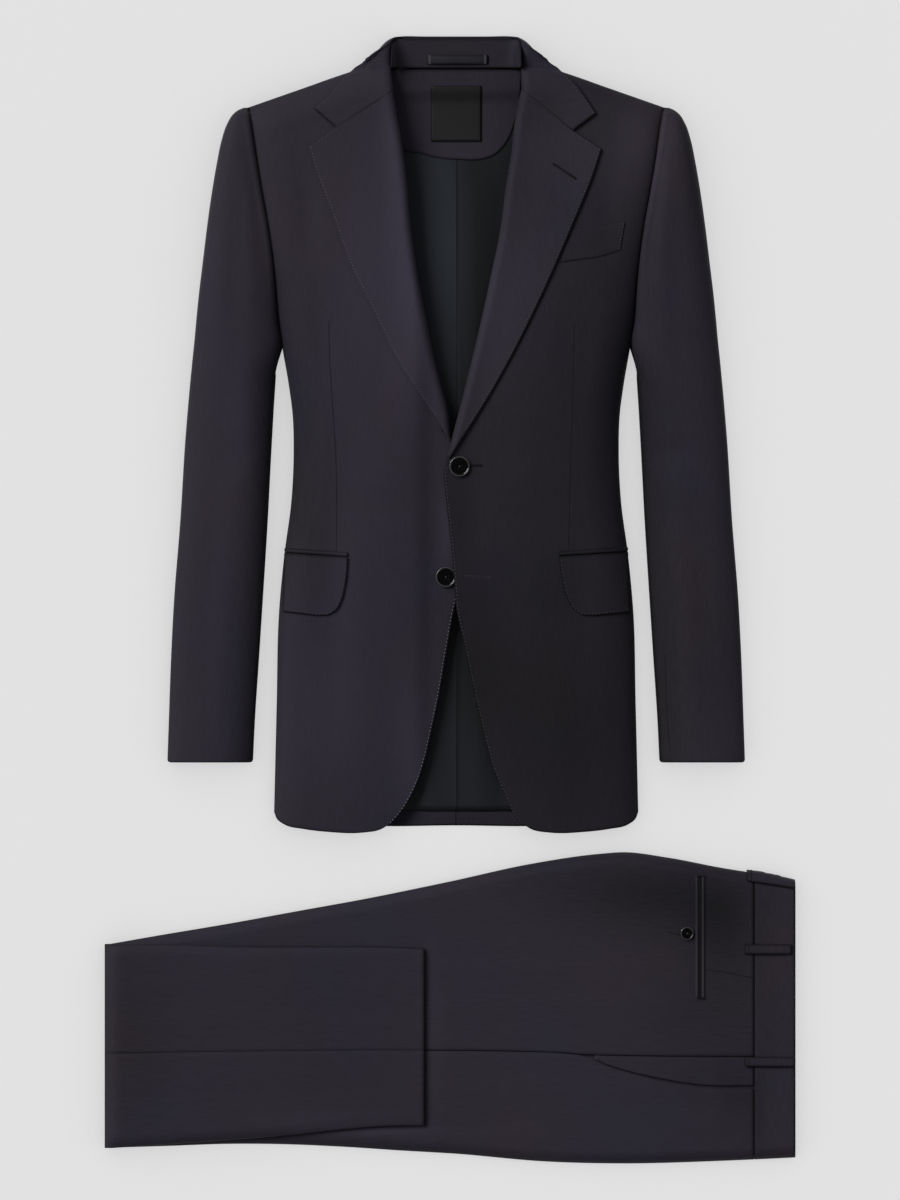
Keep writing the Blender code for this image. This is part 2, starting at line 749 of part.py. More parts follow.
def flap(name, side, face):
    """A pocket flap with one rounded corner, and the narrow jet above it."""
    cut = FLAPS[name]
    columns = 1 - crowd_end(9)[::-1]
    rows = even(5)
    start = smooth_curve(cut["outer"], rows)
    end = smooth_curve(cut["end"] + cut["corner"][1:3], rows)
    top = smooth_curve(cut["top"], columns)
    bottom = cornered_curve((cut["foot"][::-1], cut["corner"][2:][::-1]), columns)
    plan = patch(start, end, top, bottom, columns, rows)
    grid = on_face(face, plan[..., 0], plan[..., 1], 2 * GAP + FLAP_WALL)
    wall(f"flap_{name}", grid, FLAP_WALL, flip=side > 0)

    jet = np.stack([top - (0.0, 5.2), top - (0.0, 0.5)])
    grid = on_face(face, jet[..., 0], jet[..., 1], 2 * GAP + TRIM_WALL)
    wall(f"jet_{name}", grid, TRIM_WALL, flip=side > 0)


BREAST_WELT = {
    "bottom": ((104.0, 263.1), (126.8, 260.0), (142.5, 257.7), (163.6, 251.0)),
    "top": ((118.0, 229.2), (142.0, 226.2), (168.6, 222.0)),
}


def breast_welt(face):
    """The slanted welt of the breast pocket on the wearer's left."""
    columns = even(7)
    rows = even(3)
    top = smooth_curve(BREAST_WELT["top"], columns)
    bottom = smooth_curve(BREAST_WELT["bottom"], columns)
    start = smooth_curve((top[0], bottom[0]), rows)
    end = smooth_curve((top[-1], bottom[-1]), rows)
    plan = patch(start, end, top, bottom, columns, rows)
    grid = on_face(face, plan[..., 0], plan[..., 1], 2 * GAP + TRIM_WALL)
    wall("breast_welt", grid, TRIM_WALL)


# Buttons: a turned disc with a raised rim round a dish

JACKET_BUTTON = 10.3
TROUSER_BUTTON = 6.5
BUTTON_RISE = 3.4
TROUSER_BUTTON_RISE = 2.6
SHANK = 1.0
TROUSER_SHANK = 0.5


def button(name, centre, radius, thickness):
    """A turned button standing just clear of the cloth it is sewn to."""
    profile = (
        # radius share, height share
        (0.0, 0.62),
        (0.62, 0.62),
        (0.74, 0.96),
        (0.86, 1.0),
        (0.97, 0.80),
        (1.0, 0.50),
        (0.93, 0.12),
        (0.80, 0.0),
        (0.0, 0.0),
    )
    shape = bmesh.new()
    verts = [shape.verts.new((r * radius * MM, 0, h * thickness * MM)) for r, h in profile]
    for near, far in zip(verts[:-1], verts[1:]):
        shape.edges.new((near, far))
    mesh = bpy.data.meshes.new(name)
    shape.to_mesh(mesh)
    shape.free()
    mesh.shade_smooth()
    piece = add_object(name, mesh, BUTTON)
    turned = piece.modifiers.new("turned", "SCREW")
    turned.axis = "Z"
    turned.steps = 20
    turned.render_steps = 20
    turned.use_merge_vertices = True
    turned.merge_threshold = 0.00002
    piece.location = centre
    return piece


# The trousers: folded on the crease, and the lower legs folded back over the thighs

WAIST_SEAM = 754.5
WAIST_EDGE = 795.6
HEM_ALONG = 424.0
FOLD_ALONG = 104.5
UPPER_EDGE = (
    # along, down
    (108.0, 944.5),
    (159.0, 935.6),
    (228.0, 924.0),
    (296.6, 911.5),
    (365.5, 899.0),
    (450.0, 881.7),
    (534.0, 863.5),
    (601.0, 853.9),
    (623.0, 852.4),
    (668.0, 857.8),
    (722.6, 868.2),
    (754.5, 873.4),
    (795.6, 882.6),
)
LOWER_EDGE = (
    # along, down
    (108.0, 1148.3),
    (170.0, 1146.4),
    (228.0, 1144.4),
    (285.0, 1144.8),
    (343.0, 1147.3),
    (400.0, 1151.0),
    (456.0, 1154.3),
    (545.0, 1162.0),
    (624.0, 1164.0),
    (719.0, 1161.5),
    (754.5, 1160.0),
    (795.6, 1158.0),
)
SIDE_SEAM = (
    # along, down
    (108.0, 1053.5),
    (260.0, 1051.3),
    (424.0, 1050.5),
    (525.0, 1051.7),
    (560.0, 1052.9),
    (583.0, 1054.6),
    (620.0, 1055.6),
    (754.5, 1056.8),
)
POCKET_MOUTH = (
    # along, down
    (587.0, 1056.6),
    (608.0, 1066.0),
    (635.0, 1074.0),
    (663.6, 1081.0),
    (703.5, 1087.4),
    (754.5, 1088.2),
)
FOLDED_UPPER = (
    # along, down
    (112.0, 944.2),
    (156.0, 943.6),
    (228.0, 945.6),
    (320.0, 946.0),
    (388.0, 946.6),
    (423.0, 947.8),
)
FOLDED_LOWER = (
    # along, down
    (112.0, 1147.0),
    (180.0, 1143.5),
    (260.0, 1137.7),
    (299.0, 1136.0),
    (336.0, 1130.0),
    (384.0, 1126.2),
    (425.3, 1125.6),
)
LAYER_EDGE = 4.0
THIGH_CROWN = 14.0
HIP_CROWN = 17.0
FOLDED_RISE = 11.0
EDGE_ROUNDING = 13.0
INNER_START = 8.5
INNER_REACH = 12.0


def edge_down(table, along):
    """Where an edge lies at a distance along."""
    return value_down(table, along)


def thigh_top(along, down):
    """Height of the upper leg's outer face: rounded down at both long edges."""
    crown = THIGH_CROWN + (HIP_CROWN - THIGH_CROWN) * step_up((along - 430.0) / 200.0)
    near = down - edge_down(UPPER_EDGE, along)
    far = edge_down(LOWER_EDGE, along) - down
    return LAYER_EDGE + (crown - LAYER_EDGE) * rounding(np.minimum(near, far), EDGE_ROUNDING)


FOLDED_EDGE = THIGH_CROWN + 4.0


def folded_top(along, down):
    """Height of the folded-back lower leg's upper face between the fold and the hem."""
    near = down - edge_down(FOLDED_UPPER, along)
    far = edge_down(FOLDED_LOWER, along) - down
    crown = THIGH_CROWN + FOLDED_RISE
    return FOLDED_EDGE + (crown - FOLDED_EDGE) * rounding(np.minimum(near, far), EDGE_ROUNDING)


EDGE_COLUMNS = EDGE_ROUNDING * (1 - np.cos(np.radians([0.0, 22.0, 42.0, 64.0, 90.0])))


def cross_rows(near, far, along, flat_columns, round_near=False, round_far=False):
    """Plan points in rows across a leg, with columns close together where an edge is rounded."""
    low = edge_down(near, along)[:, None]
    high = edge_down(far, along)[:, None]
    first = EDGE_COLUMNS if round_near else np.zeros(1)
    last = EDGE_COLUMNS[::-1] if round_far else np.zeros(1)
    middle = np.linspace(0, 1, flat_columns + 1)[None, 1:-1]
    down = np.concatenate(
        [low + first, low + first[-1] + (high - low - first[-1] - last[0]) * middle, high - last], axis=1
    )
    return along[:, None] + 0 * down, down


def moved(table, amount):
    """An edge's table moved down the board by an amount."""
    return [(along, down + amount) for along, down in table]


FOLD_RADIUS = 12.4
FOLD_REACH = 15.0


def folded_panel(name, near, far, columns, round_near, round_far):
    """Half of the folded-back lower leg: up round the knee fold, then flat to the hem."""
    turn = np.radians(np.linspace(-72.0, 70.0, 9))
    fold_along = FOLD_ALONG + FOLD_REACH * (1 - np.cos(turn))
    flat_along = np.linspace(FOLD_ALONG + FOLD_REACH, HEM_ALONG, 10)
    rows = np.concatenate([fold_along, flat_along])
    along, down = cross_rows(near, far, rows, columns, round_near, round_far)
    rise = np.concatenate([np.sin(turn), np.ones(len(flat_along))])[:, None]
    top = folded_top(along, down)
    height = np.where(rise < 0, FOLD_RADIUS * (1 + rise), FOLD_RADIUS + (top - FOLD_RADIUS) * rise)
    wall(name, board_point(along, down, height), WALL, flip=True)


def thigh_panel(name, near, far, along, columns, round_near=False, round_far=False, drop=0.0):
    """Half of the upper leg, from inside the knee fold to the waistband."""
    along, down = cross_rows(near, far, along, columns, round_near, round_far)
    height = thigh_top(along, down) - drop
    climb = rounding(along - FOLD_ALONG - 4.5, INNER_REACH)
    height = INNER_START + (height - INNER_START) * climb
    wall(name, board_point(along, down, height), WALL, flip=True)


def offset_quarter(edge_height, crown, inward, angles):
    """A quarter ellipse of a rounded edge, moved inwards square to itself."""
    rise = crown - edge_height
    inside = EDGE_ROUNDING * (1 - np.cos(angles))
    height = edge_height + rise * np.sin(angles)
    square = np.stack([-np.cos(angles) / EDGE_ROUNDING, np.sin(angles) / rise], axis=-1)
    square /= np.linalg.norm(square, axis=-1, keepdims=True)
    return inside - square[:, 0] * inward, height - square[:, 1] * inward


LAYER_PROFILE = (
    # inset, share of the height up to the covering panel's edge
    (1.4, 0.0),
    (0.4, 0.10),
    (0.4, 0.26),
    (1.3, 0.34),
    (0.4, 0.42),
    (0.4, 0.56),
    (1.4, 0.64),
    (3.3, 0.66),
)


def layered_block(name, stations, near, far, base, edge_height, crown_at):
    """The hidden layers as one solid: grooved edges below, rounded under the covering panel above."""
    rings = []
    angles = np.radians([20.0, 36.0, 54.0, 74.0, 90.0])
    for along in stations:
        low = float(edge_down(near, along))
        high = float(edge_down(far, along))
        side = [(inset, base + share * (edge_height - base)) for inset, share in LAYER_PROFILE]
        inside, height = offset_quarter(edge_height, crown_at(along), WALL + 4 * GAP, angles)
        side += [(d, min(h, crown_at(along) - WALL - 2 * GAP)) for d, h in zip(inside, height)]
        ring = [(low + inset, h) for inset, h in side]
        ring += [(high - inset, h) for inset, h in side[::-1]]
        rings.append([board_point(along, down, h) for down, h in ring])
    ring_solid(name, np.array(rings))


def thigh_crown(along):
    """The upper leg's height between its edges."""
    return THIGH_CROWN + (HIP_CROWN - THIGH_CROWN) * float(step_up((along - 430.0) / 200.0))


def trousers():
    """Panels that show, the hidden layers between them, waistband, loops and pockets."""
    start_rows = FOLD_ALONG + 5.0 + 12.0 * (1 - np.cos(np.linspace(0.2, math.pi / 2, 4)))
    rows = np.concatenate([start_rows, np.linspace(FOLD_ALONG + 20.0, WAIST_SEAM - GAP, 15)[1:]])
    thigh_panel("trouser_back_panel", UPPER_EDGE, moved(SIDE_SEAM, -GAP), rows, 3, round_near=True)
    front_near = [point for point in moved(SIDE_SEAM, GAP) if point[0] < 570.0]
    front_near += moved(POCKET_MOUTH, GAP)
    thigh_panel("trouser_front_panel", front_near, LOWER_EDGE, rows, 2, round_far=True)
    facing_rows = np.linspace(595.0, WAIST_SEAM - GAP, 7)
    facing_far = moved(POCKET_MOUTH, -1.2)
    thigh_panel("pocket_facing", moved(SIDE_SEAM, GAP), facing_far, facing_rows, 2, drop=0.8)

    folded_panel("folded_leg_back", FOLDED_UPPER, moved(SIDE_SEAM, -0.8), 3, True, False)
    folded_panel("folded_leg_front", moved(SIDE_SEAM, -0.2), FOLDED_LOWER, 2, False, True)

    below = np.linspace(FOLD_ALONG + 18.0, WAIST_EDGE - 2.0, 17)
    layered_block(
        "layers_below", below, UPPER_EDGE, LOWER_EDGE, 0.0, LAYER_EDGE, lambda x: thigh_crown(x) - 0.4
    )
    over = np.linspace(FOLD_ALONG + 18.0, HEM_ALONG - 1.0, 9)
    layered_block(
        "layers_over",
        over,
        FOLDED_UPPER,
        FOLDED_LOWER,
        THIGH_CROWN + 2 * GAP,
        FOLDED_EDGE - 0.6,
        lambda x: THIGH_CROWN + FOLDED_RISE - 0.4,
    )
    waist_pieces()


WAISTBAND_WALL = 2.4
LOOP_WALL = 1.4
LOOP_WIDTH = 10.0
BELT_LOOPS = {
    # start along, end along, down at the start, down at the end
    "back": (746.6, 795.0, 879.4, 889.0),
    "side_back": (744.5, 791.5, 949.2, 949.4),
    "side": (744.5, 795.0, 1061.6, 1062.0),
}


def waist_pieces():
    """Waistband, belt loops, the jetted back pocket and its button."""
    along = np.array([WAIST_SEAM + GAP, 768.0, 782.0, WAIST_EDGE])
    along, down = cross_rows(UPPER_EDGE, LOWER_EDGE, along, 6, True, True)
    height = thigh_top(along, down) + 0.3
    wall("waistband", board_point(along, down, height), WAISTBAND_WALL, flip=True)

    for name, (start, end, near, far) in BELT_LOOPS.items():
        steps = even(8)
        along = (start + (end - start) * steps)[:, None]
        middle = (near + (far - near) * steps)[:, None]
        down = middle + LOOP_WIDTH * np.linspace(-0.5, 0.5, 4)[None, :]
        spread = along + 0 * down
        arch = 1.2 * np.clip(np.sin(math.pi * steps), 0, 1)[:, None] ** 0.5 + 0 * down
        grid = on_face(thigh_top, spread, down, 0.3 + 2 * GAP + LOOP_WALL + arch, centre=0.0)
        wall(f"belt_loop_{name}", grid, LOOP_WALL, flip=True)

    for name, start, end in (("upper", 697.3, 700.6), ("lower", 701.2, 704.5)):
        strip = board_patch((start, 876.0), (end, 998.0), 1, 9)
        height = thigh_top(strip[..., 0], strip[..., 1]) + 2 * GAP + TRIM_WALL
        wall(f"back_pocket_jet_{name}", board_point(strip[..., 0], strip[..., 1], height), TRIM_WALL)


def clear_scene():
    """Start from an empty scene."""
    for thing in list(bpy.data.objects):
        bpy.data.objects.remove(thing)


clear_scene()
SUIT = bpy.data.collections.new("suit")
bpy.context.scene.collection.children.link(SUIT)

for panel_name, panel_side, panel_face in (("right", -1, right_top), ("left", 1, left_top)):
    front_panel(panel_name, panel_side, panel_face)
    back_panel(panel_name, panel_side)
    lapel(panel_name, panel_side, panel_face)
    sleeve(panel_name, panel_side)
    flap(panel_name, panel_side, panel_face)
inner_pieces()
collar()
breast_welt(left_top)

WAIST_BUTTON = (3.3, 466.4)
waist_height = float(left_top(np.array(WAIST_BUTTON[0]), np.array(WAIST_BUTTON[1]))) + SHANK
button(
    "button_waist",
    board_point(JACKET_CENTRE + WAIST_BUTTON[0], WAIST_BUTTON[1], waist_height),
    JACKET_BUTTON,
    BUTTON_RISE,
)
lower_height = float(right_top(np.array(LOWER_BUTTON[0]), np.array(LOWER_BUTTON[1]))) + SHANK
button(
    "button_lower",
    board_point(JACKET_CENTRE + LOWER_BUTTON[0], LOWER_BUTTON[1], lower_height),
    JACKET_BUTTON,
    BUTTON_RISE,
)
trousers()
POCKET_BUTTON = (687.2, 933.5)
pocket_height = float(thigh_top(*np.array(POCKET_BUTTON))) + TROUSER_SHANK
button(
    "back_pocket_button",
    board_point(POCKET_BUTTON[0], POCKET_BUTTON[1], pocket_height),
    TROUSER_BUTTON,
    TROUSER_BUTTON_RISE,
)
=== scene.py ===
"""A two-button wool suit laid out flat: the jacket above, the folded trousers below it.

Tables are in millimetres on the board that the suit lies on, 900 by 1200. A jacket table runs
across from the jacket's centre line (plus is the wearer's left) and down the board; a trouser
table runs along and down the board. A pixel of the photograph is a millimetre of the board.
"""

import math

import bpy
import numpy as np
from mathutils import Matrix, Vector


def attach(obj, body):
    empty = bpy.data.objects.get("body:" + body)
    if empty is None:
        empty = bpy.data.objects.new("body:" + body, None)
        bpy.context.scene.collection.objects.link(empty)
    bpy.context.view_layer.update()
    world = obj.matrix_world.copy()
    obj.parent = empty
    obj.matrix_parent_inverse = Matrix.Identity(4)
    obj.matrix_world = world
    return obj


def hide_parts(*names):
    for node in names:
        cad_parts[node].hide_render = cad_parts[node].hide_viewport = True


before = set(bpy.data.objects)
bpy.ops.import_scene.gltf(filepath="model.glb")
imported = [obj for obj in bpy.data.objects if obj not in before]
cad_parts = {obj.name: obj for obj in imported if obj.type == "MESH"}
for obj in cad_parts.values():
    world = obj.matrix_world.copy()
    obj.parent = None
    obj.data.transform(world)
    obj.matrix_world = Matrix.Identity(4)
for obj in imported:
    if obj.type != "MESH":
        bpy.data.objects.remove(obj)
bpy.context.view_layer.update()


# The board, the lamps and the camera
# A pale matt board, evenly lit from above. One broad soft lamp, up and to the left, shows the
# suit's form, with plain light all round. The camera looks straight down through a long lens.

BOARD = (900.0, 1200.0)
BOARD_HALF = 20.0  # metres
BOARD_BELOW = 0.0008  # metres
LAMP_SIDE = (-0.85, 0.60, 1.0)
LAMP_POWER = 3.3
LAMP_SPREAD = 36.0
BOARD_LAMP_POWER = 2.12
BOARD_LAMP_SPREAD = 60.0
ROOM_LIGHT = 0.28
LENS = 500.0
SENSOR = 36.0
SHARP_HEIGHT = 0.02  # metres


def add_node(tree, kind, inputs, output=0, **settings):
    """A shader node with its settings, each input given a value or another node's output. One of
    its own outputs comes back."""
    made = tree.nodes.new("ShaderNode" + kind)
    for key, value in settings.items():
        setattr(made, key, value)
    for socket, value in inputs.items():
        if isinstance(value, bpy.types.NodeSocket):
            tree.links.new(value, made.inputs[socket])
        else:
            made.inputs[socket].default_value = value
    return made.outputs[output]


def new_finish(name, roughness, specular):
    """A material, its tree and shader, and the place on the piece that its patterns read."""
    finish = bpy.data.materials.new(name)
    finish.use_nodes = True
    tree = finish.node_tree
    shader = tree.nodes["Principled BSDF"]
    shader.inputs["Roughness"].default_value = roughness
    shader.inputs["Specular IOR Level"].default_value = specular
    return finish, tree, shader, add_node(tree, "TexCoord", {}, "Object")


def add_piece(name, points, faces, finish):
    """A smooth mesh, its place in its own points, with its finish."""
    mesh = bpy.data.meshes.new(name)
    mesh.from_pydata(np.reshape(points, (-1, 3)).tolist(), [], faces)
    mesh.shade_smooth()
    mesh.materials.append(finish)
    piece = bpy.data.objects.new(name, mesh)
    bpy.context.scene.collection.objects.link(piece)
    return piece


def board():
    """A pale matt sheet, far wider than any view."""
    finish, tree, shader, place = new_finish("board", 0.95, 0.1)
    grain = add_node(tree, "TexNoise", {"Vector": place, "Scale": 60.0, "Detail": 3.0}, "Fac")
    tone = add_node(tree, "MapRange", {"Value": grain, "To Min": 0.795, "To Max": 0.805})
    tree.links.new(tone, shader.inputs["Base Color"])
    signs = ((-1, -1), (1, -1), (1, 1), (-1, 1))
    corners = [(x * BOARD_HALF, y * BOARD_HALF, -BOARD_BELOW) for x, y in signs]
    floor = add_piece("board", corners, [(0, 1, 2, 3)], finish)
    return floor


def soft_lamp(name, power, spread, side):
    """A broad distant lamp on the given side."""
    lamp = bpy.data.objects.new(name, bpy.data.lights.new(name, "SUN"))
    lamp.data.energy = power
    lamp.data.angle = math.radians(spread)
    lamp.rotation_euler = Vector(side).to_track_quat("Z", "Y").to_euler()
    bpy.context.scene.collection.objects.link(lamp)
    return lamp


def light_and_camera(floor):
    """The suit's lamp, the board's own, an even pale room, and the camera above the middle."""
    scene = bpy.context.scene
    scene.view_settings.view_transform = "Standard"
    suit_lamp = soft_lamp("suit_lamp", LAMP_POWER, LAMP_SPREAD, LAMP_SIDE)
    all_but_board = bpy.data.collections.new("all_but_board")
    all_but_board.objects.link(floor)
    all_but_board.collection_objects[0].light_linking.link_state = "EXCLUDE"
    suit_lamp.light_linking.receiver_collection = all_but_board
    board_lamp = soft_lamp("board_lamp", BOARD_LAMP_POWER, BOARD_LAMP_SPREAD, (0.0, 0.0, 1.0))
    board_alone = bpy.data.collections.new("board_alone")
    board_alone.objects.link(floor)
    board_lamp.light_linking.receiver_collection = board_alone
    board_lamp.light_linking.blocker_collection = board_alone
    scene.world = bpy.data.worlds.new("room")
    scene.world.use_nodes = True
    room = scene.world.node_tree.nodes["Background"]
    room.inputs["Color"].default_value = (1.0, 1.0, 1.0, 1.0)
    room.inputs["Strength"].default_value = ROOM_LIGHT
    camera = bpy.data.objects.new("camera", bpy.data.cameras.new("camera"))
    camera.data.lens = LENS
    camera.data.sensor_width = SENSOR
    camera.location = (0.0, 0.0, SHARP_HEIGHT + BOARD[1] / 1000 * LENS / SENSOR)
    scene.collection.objects.link(camera)
    scene.camera = camera


light_and_camera(board())


# The two back panels
# Smooth worsted wool, cut in halves and sewn down the middle. They lie flat on the board, and turn
# up at the sides and over the shoulders to meet the fronts.

JACKET_CENTRE = 456.2
SHELL = 1.4
SOLID_WALL = 2.0
GAP = 0.3
SEAM_HALF_GAP = 0.4
WOOL_COOL = (0.0172, 0.0149, 0.0242)
WOOL_WARM = (0.0192, 0.0152, 0.0220)
TWILL_ACROSS = 480.0
# Painted shade along the pieces' edges: its depth, its width, how much a climb counts, and its strength at a
# seam
PAINTED_EDGE_SHADE = -0.8
EDGE_WIDTH = 1.4
EDGE_CLIMB = 0.2
SEAM_RIM = 0.3
# Painted light and shade on the cloth: soft bells that lighten or darken it where light falls on it or shade
# falls
PAINTED_SHADE_BELLS = (
    # along, down, reach along, reach down, painted change of light
    (595.0, 430.0, 85.0, 190.0, -0.30),
    (555.0, 730.0, 75.0, 120.0, -0.52),
    (435.0, 260.0, 90.0, 110.0, 0.75),
    (306.0, 450.0, 30.0, 130.0, -0.28),
    (345.0, 720.0, 60.0, 80.0, 0.26),
    (400.0, 550.0, 40.0, 80.0, 0.06),
    (365.0, 440.0, 42.0, 170.0, 0.36),
    (415.0, 740.0, 26.0, 80.0, 0.30),
    (398.0, 115.0, 12.0, 60.0, 0.28),
    (545.0, 105.0, 26.0, 30.0, -0.28),
    (525.0, 190.0, 24.0, 90.0, -0.16),
    (642.0, 128.0, 20.0, 28.0, 0.40),
    (276.0, 290.0, 14.0, 40.0, -0.22),
    (300.0, 510.0, 20.0, 60.0, -0.15),
    (405.0, 350.0, 25.0, 80.0, 0.45),
    (396.0, 150.0, 16.0, 80.0, 0.30),
    (345.0, 600.0, 14.0, 90.0, 0.25),
    (512.0, 240.0, 20.0, 80.0, -0.16),
    (642.0, 150.0, 22.0, 40.0, 0.45),
    (330.0, 370.0, 16.0, 60.0, 0.22),
    (240.0, 430.0, 12.0, 60.0, 0.22),
    (490.0, 680.0, 30.0, 60.0, -0.20),
    (425.0, 775.0, 16.0, 30.0, 0.25),
    (722.0, 925.0, 34.0, 40.0, -0.34),
    (735.0, 1095.0, 20.0, 30.0, -0.20),
    (370.0, 1131.0, 60.0, 4.0, 0.45),
    (470.0, 660.0, 26.0, 70.0, -0.30),
    (520.0, 560.0, 50.0, 130.0, -0.14),
    (555.0, 590.0, 26.0, 28.0, -0.15),
    (450.0, 819.0, 60.0, 8.0, -0.35),
    (725.0, 1000.0, 70.0, 120.0, -0.26),
    (130.0, 1040.0, 40.0, 90.0, -0.20),
    (432.0, 1030.0, 12.0, 80.0, 0.20),
    (320.0, 1122.0, 70.0, 14.0, 0.22),
    (370.0, 210.0, 60.0, 90.0, 0.16),
    (550.0, 200.0, 30.0, 60.0, -0.12),
    (628.0, 170.0, 34.0, 60.0, 0.50),
    (225.0, 420.0, 26.0, 250.0, 0.14),
    (690.0, 180.0, 60.0, 80.0, -0.18),
    (705.0, 650.0, 40.0, 110.0, -0.20),
    (660.0, 895.0, 90.0, 34.0, -0.55),
    (757.0, 1115.0, 9.0, 46.0, -0.22),
)

JACKET_HEIGHTS = (
    # down, seam height, crown height
    (60.0, 26.0, 34.0),
    (110.0, 28.0, 37.0),
    (160.0, 33.0, 42.0),
    (240.0, 33.0, 43.0),
    (300.0, 25.0, 42.0),
    (345.0, 14.0, 40.0),
    (440.0, 13.0, 34.0),
    (600.0, 12.0, 30.0),
    (760.0, 10.0, 25.0),
    (840.0, 9.0, 20.0),
)
SIDE_LINE = (
    # across, down
    (207.0, 107.0),
    (202.0, 142.0),
    (196.5, 177.0),
    (190.5, 210.0),
    (185.0, 245.0),
    (181.0, 280.0),
    (178.5, 315.0),
    (174.8, 344.0),
    (168.0, 384.0),
    (164.0, 415.0),
    (163.0, 450.0),
    (165.5, 503.0),
    (172.0, 552.0),
    (177.5, 610.0),
    (180.0, 704.0),
    (182.6, 812.0),
)
SHOULDER_LINE = (
    # across, down
    (86.0, 66.0),
    (103.0, 70.6),
    (155.0, 88.5),
    (208.0, 107.0),
)
BACK_TOP = (
    # across, down
    (0.0, 68.4),
    (40.0, 68.4),
    (66.0, 68.6),
    (86.0, 66.0),
)
BACK_HEM = 825.7
BACK_FOOT = ((0.0, BACK_HEM), (100.0, 825.0), (181.0, 812.0))
BACK_SEAM = ((0.0, 60.0), (0.0, 840.0))
HEM_PULL = 2.0
HEM_PULL_START = 780.0
HEM_PULL_REACH = 32.0
UNDERARM = 344.0
ABOVE_UNDERARM = 6.0
UNDERARM_BLEND = 34.0
SHOULDER_EDGE = 17.0
UNDER_ROUNDING = 22.0
BESIDE_NECK = 64.0
BESIDE_NECK_BLEND = 22.0
NECK_LIFT = 3.8
NECK_LIFT_ENDS = (116.0, 104.0)
NECK_LIFT_BLEND = 16.0


def board_point(along, down, height):
    """World metres: x is along less half the board, y is half the board less down, z is height."""
    x = (np.asarray(along, float) - BOARD[0] / 2) / 1000
    y = (BOARD[1] / 2 - np.asarray(down, float)) / 1000
    return np.stack(np.broadcast_arrays(x, y, np.asarray(height, float) / 1000), axis=-1)


def smooth_curve(points, share):
    """Points at shares 0 to 1 of a curve: cubic pieces through a table, with its own slopes."""
    points = np.asarray(points, float)
    steps = np.linalg.norm(np.diff(points, axis=0), axis=1)
    reach = np.concatenate([[0.0], np.cumsum(steps)])
    slopes = np.gradient(points, reach, axis=0)
    place = np.asarray(share, float) * reach[-1]
    piece = np.clip(np.searchsorted(reach, place, side="right") - 1, 0, len(steps) - 1)
    span = steps[piece][..., None]
    t = (place - reach[piece])[..., None] / span
    ends = (2 * t**3 - 3 * t**2 + 1) * points[piece] + (3 * t**2 - 2 * t**3) * points[piece + 1]
    bends = (t**3 - 2 * t**2 + t) * slopes[piece] + (t**3 - t**2) * slopes[piece + 1]
    return ends + span * bends


def cornered_curve(legs, share):
    """Points along several smooth tables joined end to end, with a sample on every joint."""
    lengths = [np.linalg.norm(np.diff(np.asarray(leg, float), axis=0), axis=1).sum() for leg in legs]
    joints = np.concatenate([[0.0], np.cumsum(lengths)]) / sum(lengths)
    share = np.array(share, float)
    for joint in joints[1:-1]:
        share[np.argmin(np.abs(share - joint))] = joint
    result = np.zeros((len(share), 2))
    for leg, low, high in zip(legs, joints[:-1], joints[1:]):
        inside = (share >= low - 1e-9) & (share <= high + 1e-9)
        result[inside] = smooth_curve(leg, np.clip((share[inside] - low) / (high - low), 0, 1))
    return result


def value_down(table, down, column=1, key=0):
    """A table's column read off smoothly at a distance down."""
    line = smooth_curve([(row[key], row[column]) for row in table], np.linspace(0, 1, 400))
    return np.interp(down, line[:, 0], line[:, 1])


def step_up(value):
    """A smooth step: 3 times the square less 2 times the cube, from 0 to 1."""
    value = np.clip(value, 0, 1)
    return value * value * (3 - 2 * value)


def bells(table, along, down):
    """Low hills added up: each is its rise times a bell of its reach each way."""
    total = 0.0
    for middle, centre, wide, long, rise in table:
        total = total + rise * np.exp(-(((along - middle) / wide) ** 2) - ((down - centre) / long) ** 2)
    return total


def rounding(distance, width):
    """A quarter round: the root of 1 less the square of what is left of the width."""
    share = np.clip(distance / width, 0, 1)
    return np.sqrt(np.clip(1 - (1 - share) ** 2, 0, 1))


def edged(count, edge):
    """Even shares from 0 to 1 with one narrow step at each end."""
    return np.concatenate([[0.0], np.linspace(edge, 1 - edge, count), [1.0]])


def crowded(count):
    """Shares from 0 to 1 that crowd towards 1 as a sine does, where a wall turns down."""
    return np.sin(np.linspace(0, math.pi / 2, count + 1))


def patch(start, end, top, bottom, across_shares, down_shares):
    """Plan points between four edges: both blends of facing edges less the blend of the corners."""
    u = np.asarray(across_shares)[None, :, None]
    v = np.asarray(down_shares)[:, None, None]
    sides = (1 - u) * start[:, None, :] + u * end[:, None, :]
    ends = (1 - v) * top[None, :, :] + v * bottom[None, :, :]
    corners = (1 - u) * (1 - v) * top[0] + u * (1 - v) * top[-1]
    corners = corners + (1 - u) * v * bottom[0] + u * v * bottom[-1]
    return sides + ends - corners


def times(tree, colour, light):
    """A colour multiplied by a light's strength."""
    inputs = {0: 1.0, 6: colour, 7: light}
    return add_node(tree, "Mix", inputs, 2, data_type="RGBA", blend_type="MULTIPLY")


def painted(tree, light):
    """A light's strength with the piece's painted light and shade, its tone attribute, added."""
    change = add_node(tree, "Attribute", {}, "Fac", attribute_name="tone")
    return add_node(tree, "Math", {0: light, 1: change}, operation="ADD")


